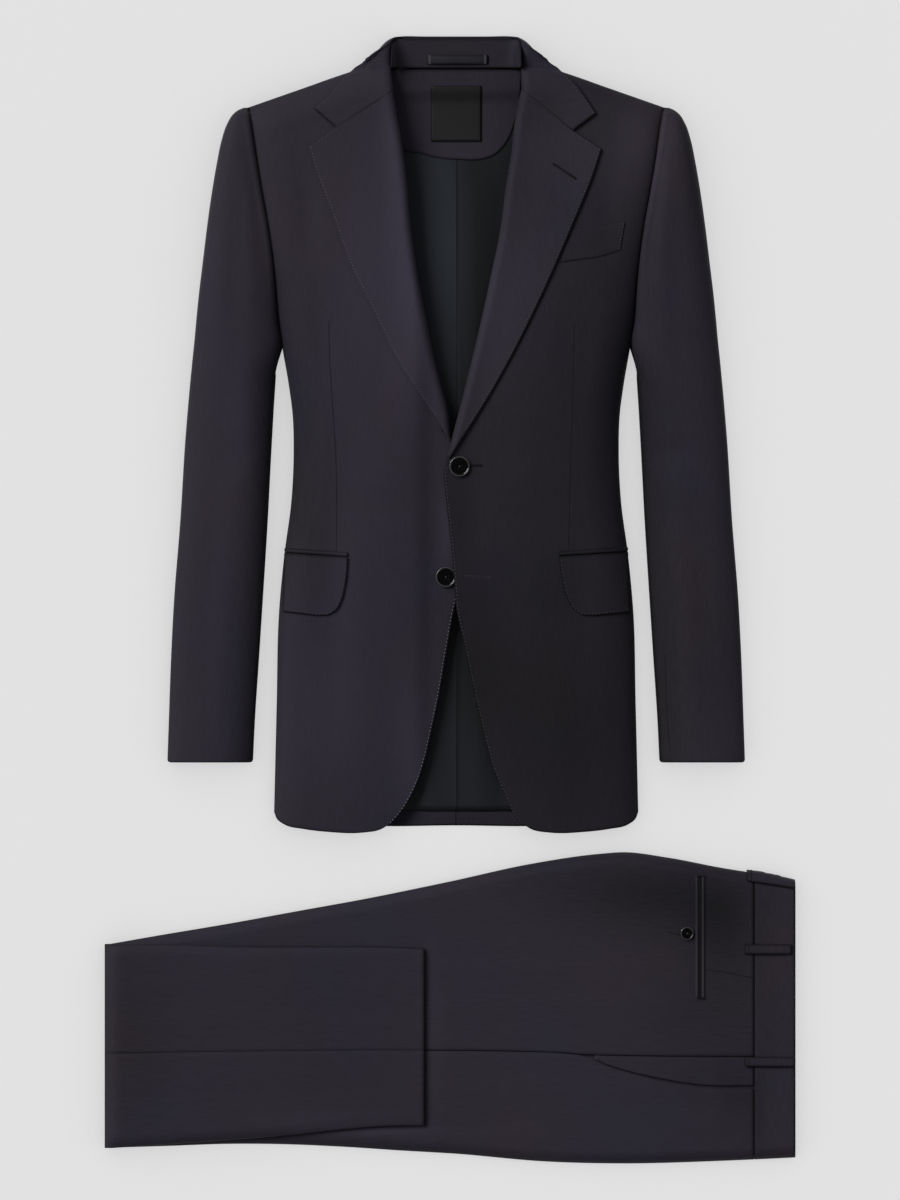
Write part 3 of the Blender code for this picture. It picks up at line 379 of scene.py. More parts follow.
def seam_drawn(tree, tone, reach, depth, colour):
    """A tone with the seam attribute's line drawn on it, and the line's strength: full on the
    seam, fading over its reach, and none past its ends."""
    line = add_node(tree, "Attribute", {}, "Vector", attribute_name="seam")
    parts = add_node(tree, "SeparateXYZ", {"Vector": line}).node.outputs
    away = add_node(tree, "Math", {0: parts[0]}, operation="ABSOLUTE")
    near = {"Value": away, "From Min": reach[0], "From Max": reach[1], "To Min": 1.0, "To Max": 0.0}
    near = add_node(tree, "MapRange", near, interpolation_type="SMOOTHSTEP")
    within = add_node(tree, "Math", {0: parts[1], 1: 0.5}, operation="LESS_THAN")
    fold = add_node(tree, "Math", {0: near, 1: within}, operation="MULTIPLY")
    dark = add_node(tree, "Math", {0: fold, 1: depth}, operation="MULTIPLY")
    return add_node(tree, "Mix", {0: dark, 6: tone, 7: (*colour, 1)}, 2, data_type="RGBA"), fold


def wool(name, grain=0.0, seam=False, shade=1.0):
    """Worsted twill: fine diagonal ribs, uneven yarn, a slow drift from blue to brown, and painted light and
    shade.
    """
    finish, tree, shader, place = new_finish(name, 0.72, 0.13)
    turned = add_node(tree, "Mapping", {"Vector": place, "Rotation": (0, 0, grain)})
    drawn = add_node(tree, "Mapping", {"Vector": turned, "Scale": (1.0, 0.10, 1.0)})
    leaning = add_node(tree, "Mapping", {"Vector": turned, "Rotation": (0, 0, math.radians(27))})
    drift = add_node(tree, "TexNoise", {"Vector": place, "Scale": 7.0, "Detail": 3.0}, "Fac")
    yarn = add_node(tree, "TexNoise", {"Vector": drawn, "Scale": 700.0, "Detail": 2.0}, "Fac")
    hang = add_node(tree, "TexNoise", {"Vector": drawn, "Scale": 22.0, "Detail": 2.0}, "Fac")
    ribs = add_node(tree, "TexWave", {"Vector": leaning, "Scale": TWILL_ACROSS, "Distortion": 0.8}, "Fac")
    cool, warm = [(*(shade * part for part in colour), 1) for colour in (WOOL_COOL, WOOL_WARM)]
    mixed = add_node(tree, "MapRange", {"Value": drift, "From Min": 0.35, "From Max": 0.65})
    tone = add_node(tree, "Mix", {0: mixed, 6: cool, 7: warm}, 2, data_type="RGBA")
    light = add_node(tree, "MapRange", {"Value": yarn, "To Min": 0.76, "To Max": 1.24})
    tone = times(tree, tone, painted(tree, light))
    weave = add_node(tree, "Math", {0: ribs, 1: yarn}, operation="ADD")
    surface = add_node(tree, "Bump", {"Height": hang, "Strength": 0.35, "Distance": 0.0012})
    fine = {"Height": weave, "Strength": 0.30, "Distance": 0.00008, "Normal": surface}
    surface = add_node(tree, "Bump", fine)
    if seam:
        tone, fold = seam_drawn(tree, tone, (0.15, 1.1), 0.55, (0.002, 0.002, 0.003))
        sunk = {"Height": fold, "Strength": 0.5, "Distance": 0.0005, "Normal": surface}
        surface = add_node(tree, "Bump", sunk, invert=True)
    tree.links.new(tone, shader.inputs["Base Color"])
    tree.links.new(surface, shader.inputs["Normal"])
    shader.inputs["Sheen Weight"].default_value = 0.05
    shader.inputs["Sheen Roughness"].default_value = 0.40
    shader.inputs["Sheen Tint"].default_value = (0.55, 0.55, 0.65, 1)
    return finish


def line_field(plan, path):
    """For plan points near a line: how far to one side, how far past its ends, how far along."""
    path = np.asarray(path, float)
    start = path[:-1]
    step = path[1:] - start
    length = np.linalg.norm(step, axis=1)
    points = plan.reshape(-1, 1, 2) - start
    share = (points * step).sum(-1) / length**2
    last = np.arange(len(length)) == len(length) - 1
    first = np.arange(len(length)) == 0
    held = np.clip(share, np.where(first, -1e6, 0.0), np.where(last, 1e6, 1.0))
    away = np.linalg.norm(points - held[..., None] * step, axis=-1)
    nearest = away.argmin(axis=1)
    row = np.arange(len(nearest))
    cross = step[nearest, 0] * points[row, nearest, 1] - step[nearest, 1] * points[row, nearest, 0]
    aside = cross / length[nearest]
    along = np.concatenate([[0.0], np.cumsum(length)])[nearest] + held[row, nearest] * length[nearest]
    past = np.maximum(-along, along - length.sum())
    return np.stack([aside, past, along], axis=-1)


def edge_bells(grid, rims):
    """How near each point lies to its piece's first and last row and column: for each a bell of
    the distance, with a climb counted in part, times that edge's strength, and the largest."""
    flattened = grid * (1.0, 1.0, EDGE_CLIMB)
    near_edges = []
    for axis in (0, 1):
        steps = np.linalg.norm(np.diff(flattened, axis=axis), axis=-1) * 1000
        start = np.zeros_like(np.take(steps, [0], axis=axis))
        reach = np.concatenate([start, np.cumsum(steps, axis=axis)], axis=axis)
        back = np.take(reach, [-1], axis=axis) - reach
        near_edges += [np.exp(-((away / EDGE_WIDTH) ** 2)) for away in (reach, back)]
    return np.maximum.reduce([strength * near for strength, near in zip(rims, near_edges)])


def cloth(name, grid, thickness, finish, flip=False, seam=None, painted_shading=0.0, rims=(1, 1, 1, 1)):
    """A sheet through a grid of points on its outer face, given its thickness inwards. Its edges are darkened
    with painted shade, each by its rim's strength, and its painted shading and the painted shade bells are
    added in its tone attribute."""
    rows, columns = grid.shape[:2]
    index = np.arange(rows * columns).reshape(rows, columns)
    quads = np.stack([index[:-1, :-1], index[1:, :-1], index[1:, 1:], index[:-1, 1:]], axis=-1)
    quads = quads.reshape(-1, 4)
    if flip:
        quads = quads[:, ::-1]
    piece = add_piece(name, grid, quads.tolist(), finish)
    along = grid[..., 0].ravel() * 1000 + BOARD[0] / 2
    down = BOARD[1] / 2 - grid[..., 1].ravel() * 1000
    # The tone attribute is painted light and shade: dark edges, the piece's painted shading and the bells.
    tone = PAINTED_EDGE_SHADE * edge_bells(grid, rims).ravel() + np.ravel(painted_shading)
    tone += bells(PAINTED_SHADE_BELLS, along, down)
    mesh = piece.data
    mesh.attributes.new("tone", "FLOAT", "POINT").data.foreach_set("value", tone)
    if seam is not None:
        mesh.attributes.new("seam", "FLOAT_VECTOR", "POINT").data.foreach_set("vector", seam.ravel())
    wall = piece.modifiers.new("thickness", "SOLIDIFY")
    wall.thickness = thickness / 1000
    wall.offset = -1.0
    return piece


def sew(piece, nodes):
    """Fix a piece to the suit in place of its solids."""
    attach(piece, "root")
    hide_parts(*nodes)
    return piece


def shoulder_depth(across, down):
    """How far a point lies below the shoulder line."""
    line = np.array(SHOULDER_LINE)
    return down - np.interp(np.abs(across), line[:, 0], line[:, 1])


def back_outer(across, down):
    """Height of the back's outer face: 0, turned up in quarter rounds at sides and shoulders."""
    side = value_down(SIDE_LINE, down, column=0, key=1)
    seam = value_down(JACKET_HEIGHTS, down, column=1)
    below_arm = step_up((down - UNDERARM + ABOVE_UNDERARM) / UNDERARM_BLEND)
    turned = seam * below_arm * (1 - rounding(side - np.abs(across), UNDER_ROUNDING))
    beside_neck = step_up((np.abs(across) - BESIDE_NECK) / BESIDE_NECK_BLEND)
    over = 1 - rounding(shoulder_depth(across, down), UNDER_ROUNDING)
    shoulder = (SHOULDER_EDGE - 2 * SEAM_HALF_GAP) * beside_neck * over
    last_across, last_down = NECK_LIFT_ENDS
    under_collar = step_up((last_down - down) / NECK_LIFT_BLEND)
    under_collar = under_collar * step_up((last_across - np.abs(across)) / NECK_LIFT_BLEND)
    collar_lift = NECK_LIFT * under_collar
    return np.maximum(np.maximum(turned, shoulder), collar_lift)


def back_panel(name, side):
    """Half of the back, its plan a patch from the centre seam to the side seam."""
    columns = np.concatenate([[0.0], 0.004 + 0.996 * crowded(50)])
    rows = np.concatenate([np.linspace(0, 0.05, 16)[:-1], np.linspace(0.05, 0.997, 150), [1.0]])
    inner = smooth_curve((BACK_TOP[0], BACK_FOOT[0]), rows)
    outer = smooth_curve(SIDE_LINE, rows)
    outer[:, 0] -= HEM_PULL * step_up((outer[:, 1] - HEM_PULL_START) / HEM_PULL_REACH)
    top = cornered_curve((BACK_TOP, SHOULDER_LINE), columns)
    bottom = smooth_curve(BACK_FOOT, columns)
    plan = patch(inner, outer, top, bottom, columns, rows)
    across = plan[..., 0] * (1 - 2 * SEAM_HALF_GAP / SHOULDER_LINE[-1][0])
    down = plan[..., 1] + SEAM_HALF_GAP * (1 - rows[:, None])
    grid = board_point(JACKET_CENTRE + side * across, down, back_outer(across, down))
    seam = line_field(np.stack([across, down], axis=-1), BACK_SEAM)
    piece = cloth(name, grid, SHELL, wool(name, seam=True), flip=side > 0, seam=seam, rims=(0, 1, 0, 0))
    sew(piece, [name])


back_panel("back_left", 1)
back_panel("back_right", -1)


# The back's lining
# A near-black twill lining with a soft satin face, sewn to the back along the neck, the sides and
# the hem, with a pleat of ease down its middle.

LINING_HALF = 140.0
LINING_TOP = 104.0
LINING_HEM = 811.0
LINING_SHELL = 0.8
LINING_OUT = GAP + 1.0
PLEATS_START = 158.0
PLEATS_BLEND = 50.0
PLEAT_WANDER = 2.5
PLEAT_WAVE = 90.0
CHEST_DOWN = 280.0
CHEST_REACH = (60.0, 170.0)
CHEST_TURN = 12.0
PLEAT_ACROSS = 0.8
LINING_PLEATS = (
    # across, width, rise
    (2.6, 1.6, 0.25),
    (-23.0, 9.0, 0.5),
    (19.0, 11.0, 0.4),
    (44.0, 8.0, -0.4),
    (-41.0, 12.0, -0.5),
    (-78.0, 14.0, 0.5),
    (83.0, 12.0, 0.5),
)


def lining(name, colour, roughness, seam=False):
    """A smooth twill lining: fine ribs, a satin face, tone that runs down the cloth, and painted light and
    shade.
    """
    finish, tree, shader, place = new_finish(name, roughness, 0.14)
    drawn = add_node(tree, "Mapping", {"Vector": place, "Scale": (1.0, 0.08, 1.0)})
    leaning = add_node(tree, "Mapping", {"Vector": place, "Rotation": (0, 0, math.radians(40))})
    soft = add_node(tree, "TexNoise", {"Vector": drawn, "Scale": 45.0, "Detail": 2.0}, "Fac")
    ribs = add_node(tree, "TexWave", {"Vector": leaning, "Scale": 700.0, "Distortion": 0.5}, "Fac")
    light = add_node(tree, "MapRange", {"Value": soft, "To Min": 0.75, "To Max": 1.25})
    tone = times(tree, (*colour, 1), painted(tree, light))
    slow = add_node(tree, "Bump", {"Height": soft, "Strength": 0.4, "Distance": 0.0010})
    fine = {"Height": ribs, "Strength": 0.2, "Distance": 0.00005, "Normal": slow}
    surface = add_node(tree, "Bump", fine)
    if seam:
        tone = seam_drawn(tree, tone, (0.2, 1.3), 0.8, (0.001, 0.001, 0.002))[0]
    tree.links.new(tone, shader.inputs["Base Color"])
    tree.links.new(surface, shader.inputs["Normal"])
    return finish


def inside_height(across, down, layers):
    """Height of a layer's upper face on the inside of the back."""
    return back_outer(across, down) + SOLID_WALL + layers


def back_lining():
    """A flat sheet with low pleats: each is its rise times a bell of its width."""
    across, down = np.meshgrid(
        np.linspace(-LINING_HALF, LINING_HALF, 150), np.linspace(LINING_TOP, LINING_HEM, 120)
    )
    pleats = np.zeros_like(across)
    for centre, width, rise in LINING_PLEATS:
        wander = centre + PLEAT_WANDER * np.sin(down / PLEAT_WAVE + centre)
        pleats += rise * np.exp(-(((across - wander) / width) ** 2))
    pleats = pleats * step_up((down - PLEATS_START) / PLEATS_BLEND)
    height = inside_height(across, down, LINING_OUT) + pleats
    grid = board_point(JACKET_CENTRE + across, down, height)
    plan = np.stack([across, down], axis=-1)
    line = line_field(plan, ((PLEAT_ACROSS, LINING_TOP - 20.0), (PLEAT_ACROSS, LINING_HEM)))
    finish = lining("back_lining", (0.0072, 0.0086, 0.0112), 0.45, seam=True)
    # Painted light and shade on the lining below the neck: lighter on the wearer's right half, darker on the
    # left.
    painted_chest_light = np.exp(-(((down - CHEST_DOWN) / CHEST_REACH[1]) ** 2) - (across / CHEST_REACH[0]) ** 4)
    painted_chest_light = painted_chest_light * (0.05 - 1.05 * np.tanh(across / CHEST_TURN))
    rims = (0, SEAM_RIM, 0, 0)
    piece = cloth("back_lining", grid, LINING_SHELL, finish, seam=line, painted_shading=painted_chest_light, rims=rims)
    sew(piece, ["back_lining"])


back_lining()


# The neck facing and the label
# Self cloth sewn over the lining below the collar stand, ending in a U. The label is a bare woven
# square stitched down along its edges.

FACING_TOP = ((-72.0, 69.4), (66.0, 69.4))
FACING_EDGE = (
    # across, down
    (-72.0, 122.0),
    (-63.0, 142.0),
    (-52.6, 149.6),
    (-35.2, 152.8),
    (-25.2, 155.8),
    (-12.2, 158.0),
    (0.3, 158.8),
    (28.4, 158.0),
    (38.8, 153.9),
    (46.2, 147.0),
    (52.8, 136.5),
    (58.8, 119.0),
    (63.0, 100.0),
)
FACING_OUT = 2 * GAP + 2.0
LABEL = ((-25.2, 85.5), (25.2, 141.0))
LABEL_OUT = 3 * GAP + 3.2
LABEL_CURL = 0.35
THREAD = (0.105, 0.100, 0.130)


def thread_finish(name, colour):
    """Twisted thread: a fine wave along it and a soft sheen."""
    finish, tree, shader, place = new_finish(name, 0.5, 0.12)
    twist = add_node(tree, "TexWave", {"Vector": place, "Scale": 900.0}, "Fac", bands_direction="DIAGONAL")
    light = add_node(tree, "MapRange", {"Value": twist, "To Min": 0.6, "To Max": 1.2})
    tree.links.new(times(tree, (*colour, 1), light), shader.inputs["Base Color"])
    return finish


def ring_quads(index):
    """The faces between closed rings of points, a ring to a row."""
    after = np.roll(index, -1, axis=1)
    return np.stack([index[:-1], index[1:], after[1:], after[:-1]], axis=-1).reshape(-1, 4)


def stitches(name, path, spacing, length, width, finish, lift=0.1, lean=0.0):
    """Short rounded stitches set evenly along a path: each is an ellipsoid turned to the path."""
    path = np.asarray(path, float)
    steps = np.linalg.norm(np.diff(path, axis=0), axis=1)
    reach = np.concatenate([[0.0], np.cumsum(steps)])
    count = max(int(reach[-1] * 1000 / spacing), 1)
    at = (np.arange(count) + 0.5) * reach[-1] / count

    def read(place):
        """Points of the path at distances along it, in straight lines between its own."""
        return np.stack([np.interp(place, reach, path[:, k]) for k in range(3)], axis=-1)

    centre = read(at)
    run = read(at + 0.0004) - read(at - 0.0004)
    run /= np.linalg.norm(run, axis=1, keepdims=True)
    side = np.cross(np.array([0.0, 0.0, 1.0]), run)
    side /= np.linalg.norm(side, axis=1, keepdims=True)
    turned = run * math.cos(lean) + side * math.sin(lean)
    side = np.cross(np.cross(run, side), turned)
    up = np.cross(turned, side)
    around = np.linspace(0, 2 * math.pi, 6, endpoint=False)
    bulge = np.array([0.25, 0.9, 0.9, 0.25])
    ends = np.array([-0.5, -0.25, 0.25, 0.5]) * length / 1000
    ring_side = bulge[:, None] * np.cos(around)[None, :] * width / 2000
    ring_up = bulge[:, None] * np.sin(around)[None, :] * width / 2000
    points = (
        centre[:, None, None, :]
        + turned[:, None, None, :] * ends[None, :, None, None]
        + side[:, None, None, :] * ring_side[None, :, :, None]
        + up[:, None, None, :] * (ring_up[None, :, :, None] + lift / 1000)
    )
    index = np.arange(len(bulge) * len(around)).reshape(len(bulge), len(around))
    first = index.size * np.arange(count)[:, None, None]
    quads = ring_quads(index)[:, ::-1] + first
    caps = np.stack([index[0, ::-1], index[-1]]) + first
    faces = quads.reshape(-1, 4).tolist() + caps.reshape(-1, 6).tolist()
    piece = add_piece(name, points, faces, finish)
    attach(piece, "root")
    return piece


def band_patch(top, bottom, columns, rows):
    """A patch between two edges whose ends are joined by straight lines."""
    top = smooth_curve(top, columns)
    bottom = smooth_curve(bottom, columns)
    start = smooth_curve((top[0], bottom[0]), rows)
    end = smooth_curve((top[-1], bottom[-1]), rows)
    return patch(start, end, top, bottom, columns, rows)


def facing_and_label():
    """The facing is a patch down to its U; the label is a flat square a little above it."""
    columns = edged(50, 0.012)
    rows = edged(40, 0.012)
    plan = band_patch(FACING_TOP, FACING_EDGE, columns, rows)
    across = plan[..., 0]
    down = plan[..., 1]
    height = inside_height(across, down, FACING_OUT)
    grid = board_point(JACKET_CENTRE + across, down, height)
    # The facing's wool is darkened by a painted shade factor.
    facing = sew(cloth("neck_facing", grid, 1.0, wool("neck_facing", shade=0.88)), ["neck_facing"])

    (left, high), (right, low) = LABEL
    across, down = np.meshgrid(np.linspace(left, right, 24), np.linspace(high, low, 26))
    height = inside_height(across, down, LABEL_OUT) - LABEL_CURL * np.abs(across / right) ** 6
    grid = board_point(JACKET_CENTRE + across, down, height)
    finish = lining("neck_label", (0.0076, 0.0076, 0.0076), 0.55)
    label = sew(cloth("neck_label", grid, 0.6, finish), ["neck_label"])
    thread = thread_finish("label_thread", (0.030, 0.030, 0.032))
    for name, column in (("label_stitches_right", 1), ("label_stitches_left", -2)):
        stitches(name, grid[:, column], 2.4, 1.6, 0.35, thread)


facing_and_label()


# The collar stand and the hanger loop
# The stand is a band of self cloth round the inside of the neck. The loop is a narrow strip sewn
# to it at both ends, for hanging the jacket on a hook.

STAND_TOP = 8.5
STAND_DOWN = (38.5, 67.6)
STAND_HALF = 64.2
STAND_NARROWING = 0.8
STAND_RISE = (
    # down, rise of the stand's ends beside the neck
    (37.0, 0.0),
    (40.0, 5.0),
    (47.0, 16.0),
    (57.0, 24.0),
    (67.6, 27.0),
)
LOOP = ((-29.2, 54.7), (31.8, 63.8))
LOOP_OUT = GAP + 1.0
LOOP_ARCH = 1.3
LOOP_ROUND = 0.35


def stand_and_loop():
    """The stand rises at its ends as a high power across; the loop is a low arch on it."""
    u, down = np.meshgrid(np.linspace(-1, 1, 70), np.linspace(*STAND_DOWN, 22))
    share = (down - STAND_DOWN[0]) / (STAND_DOWN[1] - STAND_DOWN[0])
    across = (STAND_HALF - STAND_NARROWING * (1 - share) ** 2) * np.sin(u * math.pi / 2)
    rise = value_down(STAND_RISE, down) * (np.abs(across) / STAND_HALF) ** 18
    grid = board_point(JACKET_CENTRE + across, down, STAND_TOP + rise)
    # The stand's wool is darkened by a painted shade factor.
    finish = wool("collar_stand", math.pi / 2, shade=0.8)
    stand = sew(cloth("collar_stand", grid, 1.2, finish), ["collar_stand"])

    (left, high), (right, low) = LOOP
    across, down = np.meshgrid(edged(40, 0.02), edged(8, 0.06))
    arch = LOOP_ARCH * np.clip(np.sin(math.pi * across), 0, 1) ** 0.6
    arch = arch + LOOP_ROUND * np.sin(math.pi * down)
    along = JACKET_CENTRE + left + (right - left) * across
    grid = board_point(along, high + (low - high) * down, STAND_TOP + LOOP_OUT + arch)
    loop = cloth("hanger_loop", grid, 0.8, lining("hanger_loop", (0.012, 0.011, 0.015), 0.5))
    sew(loop, ["hanger_loop"])
    thread = thread_finish("loop_thread", THREAD)
    for name, column in (("loop_tack_right", 2), ("loop_tack_left", -3)):
        stitches(name, grid[:, column], 0.7, 2.2, 0.4, thread, lean=math.pi / 2)


stand_and_loop()


# The fronts
# Each front is one panel of worsted wool, shaped by a dart from the chest to the pocket. The
# wearer's left laps over the right, and both are cut away in a curve below the last button.

SIDE_ROUNDING = 36.0
SHOULDER_ROUNDING = 34.0
CENTRE_DIP = 0.30
CENTRE_DIP_REACH = 70.0
LAP_DROP = 3.4
LAP_START = -42.0
LAP_BLEND = 20.0
LAP_BULGE = 4.6
LAP_BULGE_ACROSS = -3.0
LAP_BULGE_REACH = 42.0
NECK_POINTS = ((86.0, 66.0), (76.0, 76.0))
LOWER_BUTTON = (-10.3, 577.0)
ROLL_TUCK = 5.0
ROLL_LINES = {
    "right": (
        # across, down
        (-63.4, 89.4),
        (-59.6, 113.0),
        (-54.5, 142.0),
        (-49.4, 180.0),
        (-44.9, 230.0),
        (-37.6, 280.0),
        (-30.5, 316.0),
        (-21.6, 359.0),
        (-14.4, 387.0),
        (-8.4, 410.0),
        (-6.4, 426.0),
    ),
    "left": (
        # across, down
        (65.4, 87.6),
        (62.4, 102.0),
        (59.0, 119.0),
        (55.2, 153.0),
        (49.4, 189.0),
        (45.0, 224.0),
        (33.8, 280.0),
        (24.9, 321.0),
        (14.2, 366.0),
        (3.4, 409.0),
        (-4.0, 437.0),
    ),
}
FRONT_BELOW_ROLL = {
    "right": ((-14.0, 430.0),),
    "left": ((3.0, 431.0), (-8.8, 458.0), (-12.6, 474.5)),
}
FRONT_EDGES = {
    "right": (
        # across, down
        (4.0, 450.0),
        (17.0, 474.0),
        (13.0, 530.0),
        (6.0, 577.0),
        (-1.8, 609.0),
        (-9.4, 650.0),
        (-16.0, 689.0),
        (-24.5, 730.0),
        (-33.0, 765.0),
        (-42.0, 789.0),
        (-52.7, 808.0),
        (-66.0, 823.8),
    ),
    "left": (
        # across, down
        (-10.8, 494.0),
        (-5.7, 540.0),
        (-1.8, 583.0),
        (-0.2, 607.0),
        (7.2, 641.0),
        (15.8, 683.0),
        (26.7, 730.0),
        (37.5, 769.0),
        (48.4, 795.0),
        (59.0, 816.0),
        (67.0, 824.0),
    ),
}
FRONT_HEM = (
    # across, down
    (66.5, 823.9),
    (75.0, 829.2),
    (95.0, 832.8),
    (128.0, 832.0),
    (153.5, 829.0),
    (171.4, 825.0),
    (179.7, 818.9),
    (182.6, 812.0),
)
DARTS = {
    "right": (
        # across, down
        (-126.9, 322.0),
        (-126.2, 360.0),
        (-123.2, 405.0),
        (-120.7, 441.0),
        (-119.2, 476.0),
        (-118.9, 512.0),
        (-119.4, 551.0),
    ),
    "left": (
        # across, down
        (118.8, 325.0),
        (117.0, 400.0),
        (114.8, 470.0),
        (113.1, 549.0),
    ),
}
FRONT_CREASES = (
    # across, down, reach across, reach down, rise
    (150.0, 225.0, 13.0, 52.0, -1.3),
    (126.0, 190.0, 20.0, 60.0, 0.7),
    (88.0, 300.0, 16.0, 70.0, 0.6),
    (146.0, 455.0, 12.0, 46.0, -0.9),
    (68.0, 470.0, 30.0, 20.0, 0.6),
    (60.0, 508.0, 34.0, 16.0, -0.5),
    (106.0, 720.0, 24.0, 82.0, 1.1),
    (62.0, 735.0, 16.0, 70.0, -0.8),
    (152.0, 700.0, 12.0, 90.0, -0.8),
)
UNEVEN = {"right": (1.0, 0.0, 0.0), "left": (0.8, 5.0, 12.0)}
# Painted light along the right front's edge beside the lap, and painted shade along the left front's edge.
FRONT_EDGE_PAINTED_LIGHT = {
    # across, down, reach across, reach down, change of painted light
    "right": (-10.0, 530.0, 6.0, 46.0, 0.55),
    "left": (2.0, 520.0, 16.0, 60.0, -0.35),
}
# Strengths of each front's painted edge shade: first row, last row, first column, last column.
FRONT_RIMS = {"right": (1, 1, 0.6, 0.5), "left": (1, 1, 1, 0.5)}


def body_top(across, down):
    """The jacket's upper face: a crown with a dip down the middle, round at sides and shoulders."""
    side = value_down(SIDE_LINE, down, column=0, key=1)
    seam = value_down(JACKET_HEIGHTS, down, column=1)
    crown = value_down(JACKET_HEIGHTS, down, column=2)
    crown = crown * (1 - CENTRE_DIP * np.exp(-((across / CENTRE_DIP_REACH) ** 2)))
    height = seam + (crown - seam) * rounding(side - np.abs(across), SIDE_ROUNDING)
    over = rounding(shoulder_depth(across, down), SHOULDER_ROUNDING)
    return SHOULDER_EDGE + (height - SHOULDER_EDGE) * over


def creases(across, down, name):
    """Soft ridges and troughs: each a rise times a bell across and a bell down."""
    strength, shift_across, shift_down = UNEVEN[name]
    return strength * bells(FRONT_CREASES, np.abs(across) - shift_across, down - shift_down)


def right_top(across, down):
    """The wearer's right front, lower where it lies under the other."""
    lap = step_up((across - LAP_START) / LAP_BLEND)
    return body_top(across, down) - LAP_DROP * lap + creases(across, down, "right")


def left_top(across, down):
    """The wearer's left front, with a low bulge over the lower button's rim."""
    squared = (across - LAP_BULGE_ACROSS) ** 2 + (down - LOWER_BUTTON[1]) ** 2
    bulge = LAP_BULGE * np.exp(-squared / LAP_BULGE_REACH**2)
    return body_top(across, down) + bulge + creases(across, down, "left")


def front_edge(name, side):
    """A front's inner edge in two legs: from the neck inside the roll line, then the front edge."""
    tucked = [(across + side * ROLL_TUCK, down) for across, down in ROLL_LINES[name]][:-1]
    neck = [(side * across, down) for across, down in NECK_POINTS]
    below = FRONT_BELOW_ROLL[name]
    return [*neck, *tucked, *below], [below[-1], *FRONT_EDGES[name]]


def edge_inset(edge, inner, inset):
    """A path a set distance in from a piece's edge, between its last two lines of points."""
    away = inner - edge
    return edge + away * (inset / 1000 / np.linalg.norm(away, axis=-1, keepdims=True))


def front_panel(name, side, face, shade):
    """One front: a patch between its edge, hem, side seam and shoulder, on the jacket's face."""
    columns = np.concatenate([[0.0], 0.010 + 0.990 * crowded(64)])
    rows = edged(230, 0.0016)
    inner = cornered_curve(front_edge(name, side), rows)
    outer = smooth_curve(SIDE_LINE, rows) * (side, 1)
    top = smooth_curve(SHOULDER_LINE, columns) * (side, 1)
    bottom = smooth_curve(FRONT_HEM, columns) * (side, 1)
    inner[0] = top[0]
    inner[-1] = bottom[0]
    outer[0] = top[-1]
    outer[-1] = bottom[-1]
    plan = patch(inner, outer, top, bottom, columns, rows)
    across = plan[..., 0] - side * SEAM_HALF_GAP * columns[None, :]
    down = plan[..., 1] + SEAM_HALF_GAP * (1 - rows[:, None])
    grid = board_point(JACKET_CENTRE + across, down, face(across, down) + SEAM_HALF_GAP)
    dart = line_field(np.stack([across, down], axis=-1), DARTS[name])
    label = f"front_{name}"
    finish = wool(label, seam=True, shade=shade)
    beside = bells([FRONT_EDGE_PAINTED_LIGHT[name]], across, down)
    rims = FRONT_RIMS[name]
    piece = cloth(label, grid, SHELL, finish, flip=side < 0, seam=dart, painted_shading=beside, rims=rims)
    sew(piece, [label])
    return grid


# Each front's wool is darkened by a painted shade factor, far more on the wearer's left, where less light
# falls.
front_grids = {
    "right": front_panel("right", -1, right_top, 0.96),
    "left": front_panel("left", 1, left_top, 0.66),
}


# Pick stitching down the front edges
# A hand prick stitch in matching silk, set in from the edge, that holds the edge flat.

FRONT_PICKS = {
    # first row of the panel, stitch width, silk's tone, darker on the left as painted shade
    "right": (160, 0.68, 0.25),
    "left": (122, 0.40, 0.16),
}

pick_thread = thread_finish("pick_thread", (0.16, 0.155, 0.19))
for edge_name, (first_row, front_width, silk) in FRONT_PICKS.items():
    front_grid = front_grids[edge_name]
    front_path = edge_inset(front_grid[first_row:-1, 0], front_grid[first_row:-1, 1], 1.9)
    edge_thread = thread_finish(f"front_{edge_name}_pick_thread", (silk, silk, 1.15 * silk))
    stitches(f"front_{edge_name}_pick_stitch", front_path, 3.6, 1.1, front_width, edge_thread, lift=0.06)


# The breast welt
# A slanted band of self cloth over the breast pocket's mouth on the wearer's left, its ends
# stitched down.

BREAST_WELT = {
    "bottom": ((104.0, 263.1), (126.8, 260.0), (142.5, 257.7), (163.6, 251.0)),
    "top": ((118.0, 229.2), (142.0, 226.2), (168.6, 222.0)),
}
WELT_TALL = 32.0
WELT_TURN = 0.7
WELT_OUT = 1.3


def on_face(face, across, down, out, centre=JACKET_CENTRE):
    """World points a distance out from a face, square to it: the normal from its two slopes."""
    reach = 0.5
    slope_x = (face(across + reach, down) - face(across - reach, down)) / (2 * reach)
    slope_y = (face(across, down + reach) - face(across, down - reach)) / (2 * reach)
    normal = np.stack([-slope_x, -slope_y, np.ones_like(slope_x)], axis=-1)
    normal /= np.linalg.norm(normal, axis=-1, keepdims=True)
    shift = normal * np.broadcast_to(np.asarray(out, float), slope_x.shape)[..., None]
    height = face(across, down) + shift[..., 2]
    return board_point(centre + across + shift[..., 0], down + shift[..., 1], height)


